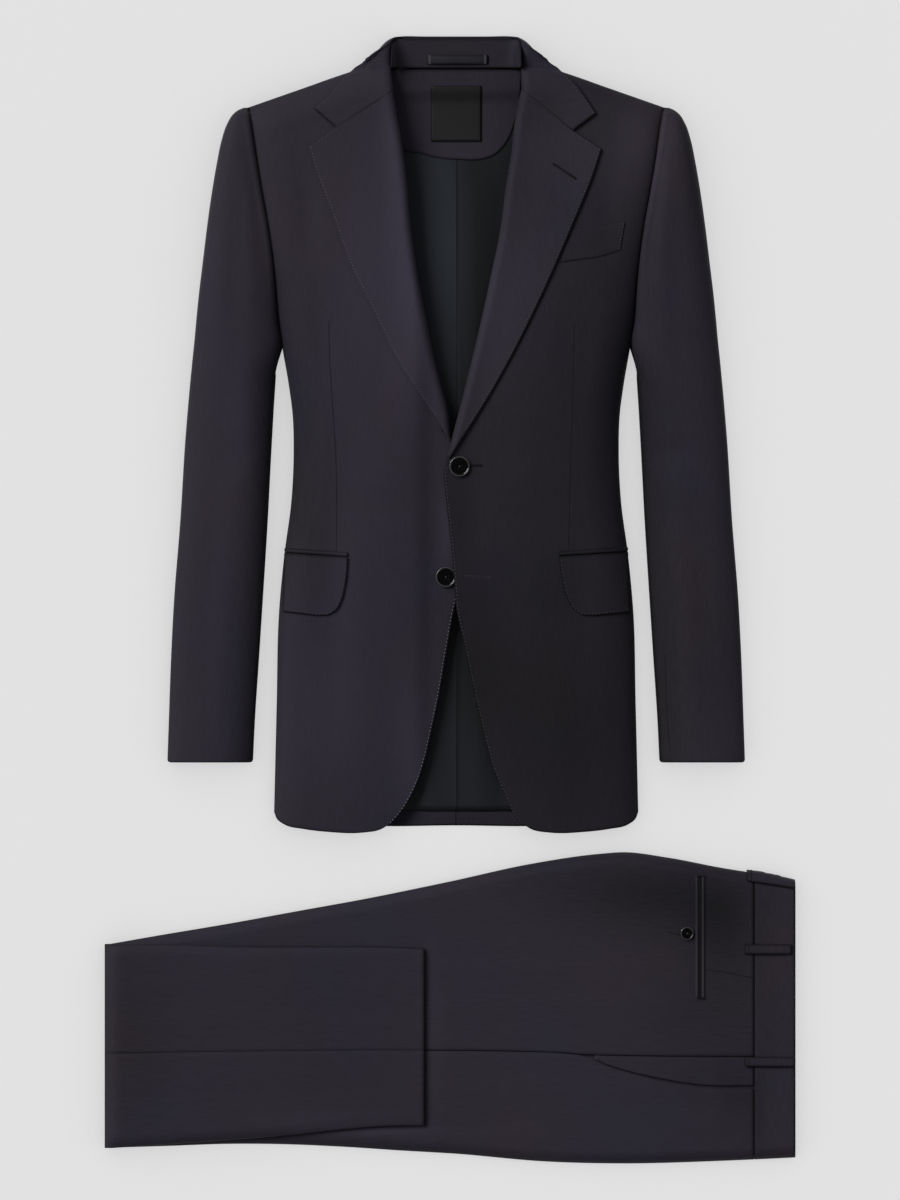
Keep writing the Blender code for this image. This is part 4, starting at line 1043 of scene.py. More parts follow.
def breast_welt():
    """A patch on the left front, its edges turned down in a quarter round."""
    columns = edged(36, 0.012)
    rows = edged(20, 0.025)
    plan = band_patch(BREAST_WELT["top"], BREAST_WELT["bottom"], columns, rows)
    turned = 2 - rounding(rows * WELT_TALL, 1.6) - rounding((1 - rows) * WELT_TALL, 1.2)
    grid = on_face(left_top, plan[..., 0], plan[..., 1], WELT_OUT - WELT_TURN * turned[:, None])
    # The breast welt's wool takes the left front's painted shade.
    finish = wool("breast_welt", math.radians(8), shade=0.66)
    welt = sew(cloth("breast_welt", grid, 0.8, finish, rims=(0.3, 0.3, 0.3, 0.3)), ["breast_welt"])
    path = edge_inset(grid[1:-1, -1], grid[1:-1, -2], 1.6)
    stitches("breast_welt_stitches", path, 3.0, 1.0, 0.32, pick_thread, lift=0.06)


breast_welt()


# The flaps and their jets
# A cut flap with one rounded corner hangs from a narrow jet sewn along the pocket's mouth.

FLAPS = {
    "right": {
        "top": ((-170.2, 553.2), (-108.4, 557.5)),
        "end": ((-108.4, 557.5), (-109.2, 574.0), (-111.2, 587.0), (-114.5, 600.0)),
        "corner": ((-114.5, 600.0), (-120.2, 610.0), (-128.6, 614.6), (-139.5, 615.2)),
        "foot": ((-139.5, 615.2), (-172.2, 611.5)),
        "outer": ((-170.2, 553.2), (-172.2, 611.5)),
    },
    "left": {
        "top": ((170.2, 552.2), (102.6, 556.5)),
        "end": ((102.6, 556.5), (104.5, 572.0), (108.3, 591.0), (111.6, 600.5)),
        "corner": ((111.6, 600.5), (117.5, 609.4), (126.0, 614.6), (138.0, 615.4)),
        "foot": ((138.0, 615.4), (172.2, 612.0)),
        "outer": ((170.2, 552.2), (172.2, 612.0)),
    },
}
FLAP_OUT = 2.2
FLAP_FREE = 0.5
FLAP_CURL = 0.25
JET_OUT = 1.1
JET_ROUND = 0.9
JET_ABOVE = 5.2
JET_TALL = 4.7


def flap(name, side, face, shade):
    """The flap is a patch a little out from the front; the jet is a low round strip above it."""
    cut = FLAPS[name]
    columns = 1 - crowded(44)[::-1]
    rows = edged(34, 0.02)
    start = smooth_curve(cut["outer"], rows)
    end = smooth_curve(cut["end"] + cut["corner"][1:3], rows)
    top = smooth_curve(cut["top"], columns)
    bottom = cornered_curve((cut["foot"][::-1], cut["corner"][2:][::-1]), columns)
    plan = patch(start, end, top, bottom, columns, rows)
    free = FLAP_FREE * rows[:, None] ** 2 + FLAP_CURL * columns[None, :] ** 3
    grid = on_face(face, plan[..., 0], plan[..., 1], FLAP_OUT + free)
    finish = wool(f"flap_{name}", side * math.radians(3), shade=shade)
    panel = sew(cloth(f"flap_{name}", grid, 1.1, finish, flip=side > 0), [f"flap_{name}"])

    u, v = np.meshgrid(np.linspace(0, 1, 40), np.linspace(0, 1, 9))
    line = smooth_curve(cut["top"], u)
    across = line[..., 0]
    down = line[..., 1] - JET_ABOVE + JET_TALL * v
    round_out = JET_OUT + JET_ROUND * np.sin(math.pi * v) ** 0.7
    strip = on_face(face, across, down, round_out)
    finish = wool(f"jet_{name}", math.pi / 2, shade=shade)
    jet = cloth(f"jet_{name}", strip, 0.7, finish, flip=side > 0)
    sew(jet, [f"jet_{name}"])
    outline = np.concatenate(
        [
            edge_inset(grid[2:-2, -1], grid[2:-2, -3], 2.0),
            edge_inset(grid[-1, ::-1], grid[-3, ::-1], 2.0)[3:-6],
        ]
    )
    stitches(f"flap_{name}_pick_stitch", outline, 3.6, 0.9, 0.32, pick_thread, lift=0.06)


# Each flap's wool and jet take their front's painted shade.
flap("right", -1, right_top, 0.96)
flap("left", 1, left_top, 0.68)


# The sleeves
# Two pieces each: a top sleeve eased into the armhole with a slightly raised head, and a narrower
# under sleeve that the arm hides. They lie flattened at the jacket's sides, hollow inside.

SLEEVE_RINGS = (
    # down, inner across, outer across, inner height, outer height, crown height
    (107.8, 207.2, 212.6, 17.6, 17.4, 19.6),
    (109.5, 208.0, 217.0, 19.0, 18.0, 22.0),
    (114.0, 207.6, 223.0, 26.0, 17.0, 29.0),
    (124.0, 205.8, 229.2, 30.5, 17.0, 35.0),
    (140.0, 202.8, 234.6, 32.5, 17.0, 39.0),
    (161.0, 199.4, 239.0, 33.2, 16.0, 41.0),
    (190.0, 194.4, 244.0, 33.4, 16.0, 42.0),
    (225.0, 188.2, 249.0, 33.2, 15.0, 42.0),
    (262.0, 183.2, 253.5, 31.0, 15.0, 41.0),
    (295.0, 180.4, 257.5, 26.0, 14.0, 40.0),
    (320.0, 178.6, 260.0, 20.5, 14.0, 39.0),
    (344.0, 175.4, 262.2, 14.0, 14.0, 38.0),
    (354.0, 177.5, 263.3, 13.6, 14.0, 37.6),
    (368.0, 179.5, 264.7, 13.3, 13.6, 37.0),
    (390.0, 181.2, 266.8, 13.0, 13.0, 36.0),
    (440.0, 184.2, 271.0, 13.0, 13.0, 34.0),
    (520.0, 188.4, 276.0, 12.5, 12.5, 32.0),
    (600.0, 193.4, 282.3, 12.0, 12.0, 30.0),
    (660.0, 197.3, 285.4, 11.5, 11.5, 28.0),
    (722.0, 201.4, 287.6, 11.0, 11.0, 26.5),
    (762.5, 203.3, 289.0, 11.0, 11.0, 26.0),
)
FOREARM_SEAM_INSET = 0.8
FOREARM_SEAM = ((209.2, 655.0), (209.8, 680.0), (210.8, 715.0), (214.0, 750.0))
SLEEVE_SHADES = {"right": -0.60, "left": -0.46}
CUFF_ROUNDING = 3.0
ARMHOLE_TURN = (
    # inwards, downwards
    (2.6, 7.0),
    (1.9, 3.6),
    (1.0, 1.2),
)
SLEEVE_FULLNESS = 0.55
HEAD_FULLNESS = 0.9
HEAD_ACROSS = 3.0
HEAD_WIDTH = 3.5
HEAD_REACH = 120.0
SHADE_SHARE = 0.24
UNDER_BELOW = 0.2
UNDER_TURN = 0.7 * UNDER_ROUNDING
SLEEVE_CREASES = (
    # share across, down, reach across, reach down, slant, rise
    (0.30, 250.0, 0.12, 70.0, 0.0003, 0.9),
    (0.55, 300.0, 0.14, 90.0, -0.0002, -0.7),
    (0.34, 452.0, 0.20, 13.0, 0.0, -0.9),
    (0.30, 486.0, 0.22, 17.0, 0.0, 0.7),
    (0.62, 560.0, 0.13, 95.0, 0.0002, -0.6),
    (0.42, 655.0, 0.12, 70.0, 0.0, 0.6),
)


def sleeve(name, side):
    """The top sleeve is a full arch from the forearm seam over the crown to the outer edge: sine of
    the turn, to a power that fills it out. Its seam allowance turns down inside the armhole. The
    under sleeve goes back along the board."""
    share = np.concatenate([np.linspace(0, 0.994, 187), [0.9965, 0.9985, 0.9995, 1.0]])
    table = np.array(SLEEVE_RINGS)
    down = (table[0, 0] + (table[-1, 0] - table[0, 0]) * share**1.3)[:, None]
    read = [value_down(SLEEVE_RINGS, down, column=c) for c in range(1, 6)]
    inner, outer, inner_height, outer_height, crown = read
    corner = CUFF_ROUNDING * (1 - rounding(table[-1, 0] - down, CUFF_ROUNDING))
    inner = inner + corner
    outer = outer - corner
    width = outer - inner
    open_ring = step_up((down - UNDERARM) / UNDERARM_BLEND)
    seam_angle = np.arccos(1 - 2 * FOREARM_SEAM_INSET * open_ring / width)

    def over(angle):
        """Across and height at a turn over the sleeve: half its width times 1 less the cosine, and
        from the seam's height up to the crown by the sine to a power."""
        x = inner + width * (1 - np.cos(angle)) / 2
        base = inner_height + (outer_height - inner_height) * (1 - np.cos(angle)) / 2
        return x, base + (crown - base) * np.clip(np.sin(angle), 0, 1) ** SLEEVE_FULLNESS

    even = np.linspace(0, 1, 72)[None, :]
    turn = seam_angle + (math.pi - seam_angle) * (even + 0.02 * np.sin(2 * math.pi * even))
    x, z = over(turn)
    place = (x - inner) / width
    for middle, centre, wide, long, slant, rise in SLEEVE_CREASES:
        aside = (place - middle - slant * (down - centre)) / wide
        z = z + rise * np.exp(-(aside**2) - ((down - centre) / long) ** 2) * np.sin(turn)
    head = np.exp(-(((x - inner - HEAD_ACROSS) / HEAD_WIDTH) ** 2)) * step_up((UNDERARM - down) / HEAD_REACH)
    z = z + SEAM_HALF_GAP + HEAD_FULLNESS * head
    inwards, downwards = np.array(ARMHOLE_TURN).T[:, None, :] * (1 - open_ring)
    # Painted shade on the top sleeve, darkest at its inner edge, where it turns away from the lamp.
    darker = SLEEVE_SHADES[name] * np.exp(-((place / SHADE_SHARE) ** 2)) * open_ring
    darker = np.concatenate([np.tile(darker[:, :1], 3), darker], axis=1)
    x = np.concatenate([x[:, :1] - inwards, x], axis=1)
    z = np.concatenate([z[:, :1] - downwards, z], axis=1)
    grid = board_point(JACKET_CENTRE + side * x, down + 0 * x, z)
    label = f"sleeve_{name}_top"
    shown = side > 0
    line = line_field(np.stack([x, down + 0 * x], axis=-1), FOREARM_SEAM) if shown else None
    finish = wool(label, side * math.radians(3), seam=shown)
    rims = (1, 1, 0.6, 1)
    piece = cloth(label, grid, SHELL, finish, flip=side < 0, seam=line, painted_shading=darker, rims=rims)
    sew(piece, [label])

    back_turn = (seam_angle - 0.035) * (1 - np.linspace(0, 1, 9))[None, :]
    top_x, top_z = over(back_turn)
    quarter = np.linspace(0, math.pi / 2, 15)[None, 1:]
    inner_x = inner + UNDER_TURN * (1 - np.cos(quarter))
    inner_z = inner_height * (1 - np.sin(quarter))
    flat_x = inner + width * np.linspace(0.3, 0.7, 10)[None, :]
    outer_x = outer - UNDER_TURN * (1 - np.sin(quarter))
    outer_z = (outer_height - UNDER_BELOW) * (1 - np.cos(quarter))
    ring_x = np.concatenate([top_x, inner_x, flat_x, outer_x], axis=1)
    ring_z = np.concatenate([top_z, inner_z, flat_x * 0, outer_z], axis=1)
    laid = np.linspace(0, 0.66, top_x.shape[1] + inner_x.shape[1] + 10)[None, :]
    laid_x = np.concatenate([inner + (width - UNDER_TURN) * laid, outer_x], axis=1)
    narrow = np.clip(width / (2 * UNDER_ROUNDING), 0, 1)
    level_x = inner + width * np.linspace(0, 1, laid_x.shape[1])[None, :]
    laid_x = laid_x * narrow + level_x * (1 - narrow)
    laid_z = np.concatenate([laid * 0 + 0 * inner, outer_z], axis=1)
    x = laid_x * (1 - open_ring) + ring_x * open_ring
    z = laid_z * (1 - open_ring) + ring_z * open_ring
    grid = board_point(JACKET_CENTRE + side * x, down + 0 * x, z)
    label = f"sleeve_{name}_under"
    finish = wool(label, side * math.radians(3))
    piece = sew(cloth(label, grid, SHELL, finish, flip=side > 0), [label])


sleeve("right", -1)
sleeve("left", 1)


# The lapels
# The fronts turned back on themselves along a soft, unpressed roll. A buttonhole is worked in the
# left one, and both edges are pick stitched.

ROLL_ENDS = {"right": ((-5.8, 432.5), (-5.2, 438.0)), "left": ((-7.0, 450.0), (-8.8, 457.0))}
# Strengths of each lapel's painted edge shade: first row, last row, first column, last column.
LAPEL_RIMS = {"right": (0.4, 0, 0, 0.25), "left": (0.6, 0, 0, 1)}
LAPELS = {
    "right": {
        "gorge": ((-63.4, 89.4), (-84.2, 103.2), (-120.6, 127.6), (-147.2, 147.0)),
        "edge": (
            # across, down
            (-147.2, 147.0),
            (-143.0, 163.0),
            (-125.2, 211.0),
            (-103.2, 271.0),
            (-83.2, 310.0),
            (-59.2, 359.0),
            (-34.2, 398.0),
            (-18.5, 421.5),
            (-9.0, 437.0),
            (-5.4, 441.5),
        ),
    },
    "left": {
        "gorge": ((65.4, 87.6), (94.0, 110.9), (116.8, 130.8), (145.0, 149.5)),
        "edge": (
            # across, down
            (145.0, 149.5),
            (136.8, 175.0),
            (114.4, 229.6),
            (100.1, 263.0),
            (73.6, 320.0),
            (48.1, 369.0),
            (15.8, 423.0),
            (1.8, 444.0),
            (-7.0, 458.0),
        ),
    },
}
LAPEL_WALL = 2.4
LAPEL_SHELL = 1.8
ROLL_WIDTH = 9.0
LAPEL_CLEAR = 1.2
ROLL_PUFF = 2.4
PUFF_REACH = 16.0
LAPEL_HOLE = ((97.1, 164.5), (119.6, 179.5))
PICK_WIDTH = {"right": 0.54, "left": 0.36}


def lapel(name, side, face):
    """A patch from roll line to edge: up in a quarter round at the roll, then low on the front."""
    cut = LAPELS[name]
    columns = np.concatenate([1 - crowded(40)[::-1][:-1], [0.985, 1.0]])
    columns = np.unique(np.round(columns, 6))
    rows = edged(150, 0.004)
    start = smooth_curve(ROLL_LINES[name] + ROLL_ENDS[name], rows)
    end = smooth_curve(cut["edge"], rows)
    top = cornered_curve((cut["gorge"][:3], cut["gorge"][2:]), columns)
    bottom = smooth_curve((start[-1], end[-1]), columns)
    plan = patch(start, end, top, bottom, columns, rows)
    from_roll = np.linalg.norm(plan - plan[:, :1], axis=-1)
    lift = LAPEL_WALL + LAPEL_CLEAR + ROLL_PUFF * np.exp(-((from_roll / PUFF_REACH) ** 2))
    height = face(plan[..., 0], plan[..., 1]) - 1.0 + (lift + 1.0) * rounding(from_roll, ROLL_WIDTH)
    grid = board_point(JACKET_CENTRE + plan[..., 0], plan[..., 1], height)
    label = f"lapel_{name}"
    finish = wool(label, side * math.radians(-14))
    piece = sew(cloth(label, grid, LAPEL_SHELL, finish, flip=side < 0, rims=LAPEL_RIMS[name]), [label])
    path = edge_inset(grid[:-14, -1], grid[:-14, -3], 2.0)
    stitches(f"{label}_pick_stitch", path, 3.4, 0.95, PICK_WIDTH[name], pick_thread, lift=0.06)
    path = edge_inset(grid[0, columns > 0.62], grid[2, columns > 0.62], 2.0)
    stitches(f"{label}_gorge_stitch", path, 3.4, 0.95, 0.34, pick_thread, lift=0.06)
    return plan, grid


def worked_hole(name, start, end, height, half_width, finish, spacing=0.62, bar_width=0.5, slit_step=1.0):
    """A worked buttonhole: purl stitches set square round a slot, and a bar across one end."""
    start = board_point(JACKET_CENTRE + start[0], start[1], height(*start))
    end = board_point(JACKET_CENTRE + end[0], end[1], height(*end))
    run = (end - start) / np.linalg.norm(end - start)
    side = np.cross(np.array([0.0, 0.0, 1.0]), run)
    turn = np.linspace(math.pi / 2, 3 * math.pi / 2, 9)[:, None]
    round_end = start + half_width / 1000 * (np.cos(turn) * run + np.sin(turn) * side)
    line = np.linspace(0, 1, 30)[:, None]
    upper = end + side * half_width / 1000 + (start - end) * line
    lower = start - side * half_width / 1000 + (end - start) * line
    outline = np.concatenate([upper, round_end[1:-1], lower])
    stitches(f"{name}_purl", outline, spacing, 1.3, 0.5, finish, lift=0.15, lean=math.pi / 2)
    bar = end + side * np.linspace(-1, 1, 8)[:, None] * half_width / 1000
    stitches(f"{name}_bar", bar, 0.5, 1.4, bar_width, finish, lift=0.2, lean=math.pi / 2)
    # Near-black stitches down the slot: its painted shadow.
    slit = start + (end - start) * line
    stitches(f"{name}_slit", slit, slit_step, 1.6, 0.5, slit_shadow_thread, lift=0.05)


# Near-black thread down the buttonholes' slots, as their painted shadow.
slit_shadow_thread = thread_finish("slit", (0.003, 0.003, 0.004))
lapel_surfaces = {
    "right": lapel("right", -1, right_top),
    "left": lapel("left", 1, left_top),
}


def lapel_height(across, down):
    """Height of the left lapel's nearest point."""
    plan, grid = lapel_surfaces["left"]
    away = np.hypot(plan[..., 0] - across, plan[..., 1] - down)
    return grid.reshape(-1, 3)[away.argmin(), 2] * 1000


hole_thread = thread_finish("hole_thread", (0.0075, 0.007, 0.010))
worked_hole("lapel_hole", *LAPEL_HOLE, lapel_height, 0.75, hole_thread)


# The collar
# One strip of self cloth from notch to notch. It folds over the stand at the back of the neck,
# and its two ends come forward to the gorge seams, with a notch above each lapel.

COLLAR_WALL = 2.6
COLLAR_SHELL = 1.9
COLLAR_CLEAR = 1.4
COLLAR_PUFF = 2.0
COLLAR_TURN = 5.0
COLLAR_TURN_WIDTH = 8.0
COLLAR_COLUMNS = edged(34, 0.02)
GORGE_HEIGHT = 42.0
NOTCH_SHARE = 0.72
FRONT_SHARE = 0.52
FRONT_BLEND = 0.10
COLLAR_STATIONS = (
    # fold across, down, height, middle across, down, height, edge across, down, height
    (0.0, 35.9, 3.2, 0.0, 56.0, 0.0, 0.0, 84.0, 0.0),
    (30.0, 35.9, 3.2, 31.0, 56.0, 0.0, 32.0, 84.0, 0.0),
    (55.0, 35.9, 5.5, 59.0, 53.0, 0.2, 66.0, 82.0, 0.0),
    (63.2, 37.6, 15.0, 72.0, 47.0, 5.0, 86.0, 72.0, 0.0),
    (64.7, 45.0, 28.0, 80.5, 52.6, 19.0, 97.5, 66.0, 10.0),
    (65.0, 56.0, 37.0, 86.0, 59.0, 33.0, 105.5, 71.5, 23.0),
    (65.0, 70.0, 41.0, 88.0, 76.0, 40.0, 116.0, 81.0, 30.0),
    (64.3, 86.0, 42.0, 90.0, 98.0, 42.0, 140.5, 112.0, 42.0),
)
NOTCHES = {
    # gorge start, gorge middle, notch, collar tip
    "right": ((-63.0, 90.0), (-84.2, 103.9), (-121.0, 127.6), (-142.6, 108.8)),
    "left": ((65.2, 88.4), (94.0, 111.6), (117.0, 130.6), (139.6, 113.6)),
}
COLLAR_EDGE_TOWARDS_TIP = (127.5, 95.5, 38.0)


def collar_half(name, side):
    """Half the strip: three smooth lines, joined across by a parabola, laid on the front."""
    gorge_start, gorge_middle, notch, tip = NOTCHES[name]
    columns = COLLAR_COLUMNS
    rows = edged(84, 0.003)
    stations = np.array(COLLAR_STATIONS).reshape(-1, 3, 3) * (side, 1, 1)
    fold = stations[:, 0].copy()
    middle = stations[:-1, 1]
    edge = stations[:, 2].copy()
    fold[-1, :2] = gorge_start
    edge[-1, :2] = tip
    edge = np.insert(edge, -1, np.array(COLLAR_EDGE_TOWARDS_TIP) * (side, 1, 1), axis=0)
    start = smooth_curve(fold, rows)
    end = smooth_curve(edge, rows)
    gorge = cornered_curve(((gorge_start, gorge_middle, notch), (notch, tip)), columns)
    middle = smooth_curve(np.vstack([middle, [*gorge[len(gorge) // 2], GORGE_HEIGHT]]), rows)
    u = columns[None, :, None]
    bend = np.array([start, middle, end])[:, :, None, :]
    grid = bend[0] * (1 - u) * (1 - 2 * u) + bend[1] * 4 * u * (1 - u) + bend[2] * u * (2 * u - 1)
    toward_notch = (np.clip((rows - NOTCH_SHARE) / (1 - NOTCH_SHARE), 0, 1) ** 2)[:, None, None]
    grid[..., :2] += toward_notch * (gorge - grid[-1, :, :2])[None]
    across = grid[..., 0]
    down = grid[..., 1]
    from_fold = np.abs(across - start[:, :1])
    puff = COLLAR_PUFF * np.exp(-((from_fold / PUFF_REACH) ** 2))
    turned = COLLAR_TURN * (1 - rounding(from_fold, COLLAR_TURN_WIDTH))
    laid = body_top(across, down) + COLLAR_WALL + COLLAR_CLEAR + puff - turned
    front = step_up((rows - FRONT_SHARE) / FRONT_BLEND)[:, None]
    height = np.maximum(grid[..., 2], 0.0) * (1 - front) + laid * front
    return board_point(JACKET_CENTRE + across, down, height)


def collar():
    """Both halves in one strip, with pick stitching along the front ends."""
    strip = np.concatenate([collar_half("right", -1)[::-1], collar_half("left", 1)[1:]])
    finish = wool("collar", math.pi / 2)
    # Painted shade along the collar's edges: strong on the notch part of each end, half along the fold, and
    # along the outer edge heavier on the wearer's left half.
    notch = 1.25 * step_up((COLLAR_COLUMNS - 0.68) / 0.06)[None, :]
    outer = np.where(np.arange(len(strip)) < len(strip) // 2, 0.3, 0.8)[:, None]
    piece = cloth("collar", strip, COLLAR_SHELL, finish, rims=(notch, notch, 0.5, outer))
    sew(piece, ["collar"])
    for name, rows in (("right", slice(1, 26)), ("left", slice(-26, -1))):
        path = edge_inset(strip[rows, -1], strip[rows, -3], 2.0)
        stitches(f"collar_{name}_pick_stitch", path, 3.4, 0.95, 0.34, pick_thread, lift=0.06)


collar()


# The front's buttons and buttonholes
# Polished black buttons with a raised rim, a sunk middle and four holes, sewn on with crossed
# thread. The upper one is through its buttonhole; the lower one is left undone.

JACKET_BUTTON = 10.3
BUTTON_RISE = 3.4
WAIST_BUTTON = (3.3, 466.4)
SHANK = 1.0
HOLE_OUT = 2.0
HOLE_WIDTH = 0.85
# The painted highlight ring's share of the radius and its width.
RIM_SHARE = 0.94
RIM_WIDTH = 0.045
RIM_GLOSS = 0.7
WELL_GLOSS = 0.07
WELL_SHARE = 0.79
TOP_RINGS = 38
HOLE_DEPTH = 1.3
HOLE_DIAGONAL = 0.707
WAIST_HOLE = ((12.0, 466.0), (26.0, 465.3))
LOWER_HOLE = ((9.5, 576.2), (34.0, 577.6))
button_thread = thread_finish("button_thread", (0.060, 0.058, 0.064))


def button_finish(name, gloss):
    """Polished horn-like plastic: near black, with faint paler streaks, and a painted highlight ring on the
    rim.
    """
    finish, tree, shader, place = new_finish(name, 0.1, gloss)
    streak = add_node(tree, "Mapping", {"Vector": place, "Scale": (1.0, 0.3, 1.0)})
    cloud = add_node(tree, "TexNoise", {"Vector": streak, "Scale": 260.0, "Detail": 3.0}, "Fac")
    shades = {0: cloud, 6: (0.0006, 0.0006, 0.0008, 1), 7: (0.0018, 0.0018, 0.0022, 1)}
    tone = add_node(tree, "Mix", shades, 2, data_type="RGBA")
    # A paler ring on the rim, a painted highlight.
    painted_rim_highlight = add_node(tree, "Attribute", {}, "Fac", attribute_name="rim_highlight")
    tone = add_node(tree, "Mix", {0: painted_rim_highlight, 6: tone, 7: (0.045, 0.045, 0.048, 1)}, 2, data_type="RGBA")
    rough = add_node(tree, "MapRange", {"Value": cloud, "To Min": 0.08, "To Max": 0.14})
    tree.links.new(tone, shader.inputs["Base Color"])
    tree.links.new(rough, shader.inputs["Roughness"])
    return finish


BUTTON_PROFILE = (
    # radius share, height share
    (0.0, 0.56),
    (0.40, 0.56),
    (0.72, 0.58),
    (0.80, 0.62),
    (0.84, 0.90),
    (0.88, 1.00),
    (0.94, 0.99),
    (0.985, 0.84),
    (1.0, 0.50),
    (0.96, 0.20),
    (0.86, 0.04),
    (0.70, 0.0),
    (0.0, 0.0),
)


def button(name, centre, radius, rise):
    """A turned profile, dimpled at four holes by bells of the distance to each, and its thread."""
    profile = smooth_curve(BUTTON_PROFILE, np.linspace(0, 1, 70))
    turn = np.linspace(0, 2 * math.pi, 96, endpoint=False)
    r = np.clip(profile[1:-1, :1], 0.004, 1.0) * radius
    x = r * np.cos(turn)[None, :]
    y = r * np.sin(turn)[None, :]
    z = profile[1:-1, 1:] * rise + 0 * x
    top = np.arange(len(profile) - 2)[:, None] < TOP_RINGS
    spread = HOLE_OUT * radius / JACKET_BUTTON
    for side_x, side_y in ((-1, -1), (1, -1), (-1, 1), (1, 1)):
        away = np.hypot(x - side_x * spread * HOLE_DIAGONAL, y - side_y * spread * HOLE_DIAGONAL)
        z = z - np.where(top, HOLE_DEPTH * np.exp(-((away / HOLE_WIDTH) ** 6)), 0.0)
    rings, around = x.shape
    points = np.stack([centre[0] + x / 1000, centre[1] + y / 1000, centre[2] + z / 1000], axis=-1)
    poles = [centre + (0, 0, z[0].mean() / 1000), centre]
    points = np.concatenate([points.reshape(-1, 3), poles])
    index = np.arange(rings * around).reshape(rings, around)
    after = np.roll(index, -1, axis=1)
    pole = np.full(around, rings * around)
    top_fan = np.stack([pole, index[0], after[0]], axis=-1)
    foot_fan = np.stack([pole + 1, after[-1], index[-1]], axis=-1)
    faces = ring_quads(index).tolist() + top_fan.tolist() + foot_fan.tolist()
    piece = add_piece(name, points, faces, button_finish(name, RIM_GLOSS))
    mesh = piece.data
    # Where the painted highlight ring lies: a bell round its share of the radius, on the top only.
    rim_highlight = np.exp(-(((profile[1:-1, 0] - RIM_SHARE) / RIM_WIDTH) ** 2)) * top[:, 0]
    rim_highlight = np.append(np.repeat(rim_highlight, around), [0.0, 0.0])
    mesh.attributes.new("rim_highlight", "FLOAT", "POINT").data.foreach_set("value", rim_highlight)
    mesh.materials.append(button_finish(f"{name}_well", WELL_GLOSS))
    in_well = (profile[1:-2, 0] < WELL_SHARE) & top[:-1, 0]
    well = np.concatenate([np.repeat(in_well, around), np.ones(around), np.zeros(around)])
    mesh.polygons.foreach_set("material_index", well.astype("int32"))
    sew(piece, [name])
    floor = centre[2] + 0.60 * rise / 1000
    reach = spread * 0.6 / 1000
    for number, (lean_x, lean_y) in enumerate(((1, 1), (1, -1))):
        middle = np.array([centre[0], centre[1], floor + 0.0002 * number])
        line = middle + np.linspace(-1, 1, 12)[:, None] * np.array([lean_x * reach, lean_y * reach, 0.0])
        stitches(f"{name}_thread_{number + 1}", line, 0.33 * radius, 2.8, 0.5, button_thread, lift=0.1)


def height_on(face):
    """A function for the height of a front's upper side at one place."""
    return lambda across, down: float(face(np.array(across), np.array(down))) + SEAM_HALF_GAP


left_front_height = height_on(left_top)
right_front_height = height_on(right_top)
for button_name, (button_across, button_down), seat in (
    ("button_waist", WAIST_BUTTON, left_front_height),
    ("button_lower", LOWER_BUTTON, right_front_height),
):
    button_height = seat(button_across, button_down) - SEAM_HALF_GAP + SHANK
    button_centre = board_point(JACKET_CENTRE + button_across, button_down, button_height)
    button(button_name, button_centre, JACKET_BUTTON, BUTTON_RISE)

worked_hole("waist_hole", *WAIST_HOLE, left_front_height, 0.8, hole_thread)
faint_thread = thread_finish("faint_thread", (0.070, 0.068, 0.080))
worked_hole("lower_hole", *LOWER_HOLE, left_front_height, 0.7, faint_thread, 2.3, 0.4, 2.6)


# The trousers' hidden layers
# The inner halves of the folded legs, pressed together. Their folded edges show as soft ridges
# along the sides, one for each thickness of cloth.

WAIST_SEAM = 754.5
WAIST_EDGE = 795.6
HEM_ALONG = 424.0
FOLD_ALONG = 104.5
UPPER_EDGE = (
    # along, down
    (108.0, 944.5),
    (159.0, 935.6),
    (228.0, 924.0),
    (296.6, 911.5),
    (365.5, 899.0),
    (450.0, 881.7),
    (534.0, 863.5),
    (601.0, 853.9),
    (623.0, 852.4),
    (668.0, 857.8),
    (722.6, 868.2),
    (754.5, 873.4),
    (795.6, 882.6),
)
LOWER_EDGE = (
    # along, down
    (108.0, 1148.3),
    (170.0, 1146.4),
    (228.0, 1144.4),
    (285.0, 1144.8),
    (343.0, 1147.3),
    (400.0, 1151.0),
    (456.0, 1154.3),
    (545.0, 1162.0),
    (624.0, 1164.0),
    (719.0, 1161.5),
    (754.5, 1160.0),
    (795.6, 1158.0),
)
FOLDED_UPPER = (
    # along, down
    (112.0, 944.2),
    (156.0, 943.6),
    (228.0, 945.6),
    (320.0, 946.0),
    (388.0, 946.6),
    (423.0, 947.8),
)
FOLDED_LOWER = (
    # along, down
    (112.0, 1148.2),
    (180.0, 1143.5),
    (260.0, 1137.7),
    (299.0, 1134.0),
    (336.0, 1130.0),
    (384.0, 1126.2),
    (425.3, 1125.6),
)
LAYER_EDGE = 4.0
THIGH_CROWN = 14.0
HIP_CROWN = 17.0
HIP_START = 430.0
HIP_REACH = 200.0
FOLDED_RISE = 11.0
THINNING_START = 250.0
THINNING_REACH = 174.0
FOLDED_EDGE = THIGH_CROWN + 4.0
EDGE_ROUNDING = 13.0
LEAF_DEPTH = 1.1
LEAF_INSET = 0.4
LEAVES_SHARE = 0.64
BLOCK_BELOW = 0.4
BLOCK_INSIDE = 3.2
BLOCK_FLAT = 2.6
BLOCK_THINNING = 5.8
BLOCK_START = FOLD_ALONG + 12.0


def thigh_crown(along):
    """The upper leg's height between its edges, a little more over the hip."""
    return THIGH_CROWN + (HIP_CROWN - THIGH_CROWN) * step_up((along - HIP_START) / HIP_REACH)


def folded_crown(along, thinning):
    """The folded leg's height between its edges: it thins from the fold to the hem."""
    return THIGH_CROWN + FOLDED_RISE - thinning * step_up((along - THINNING_START) / THINNING_REACH)


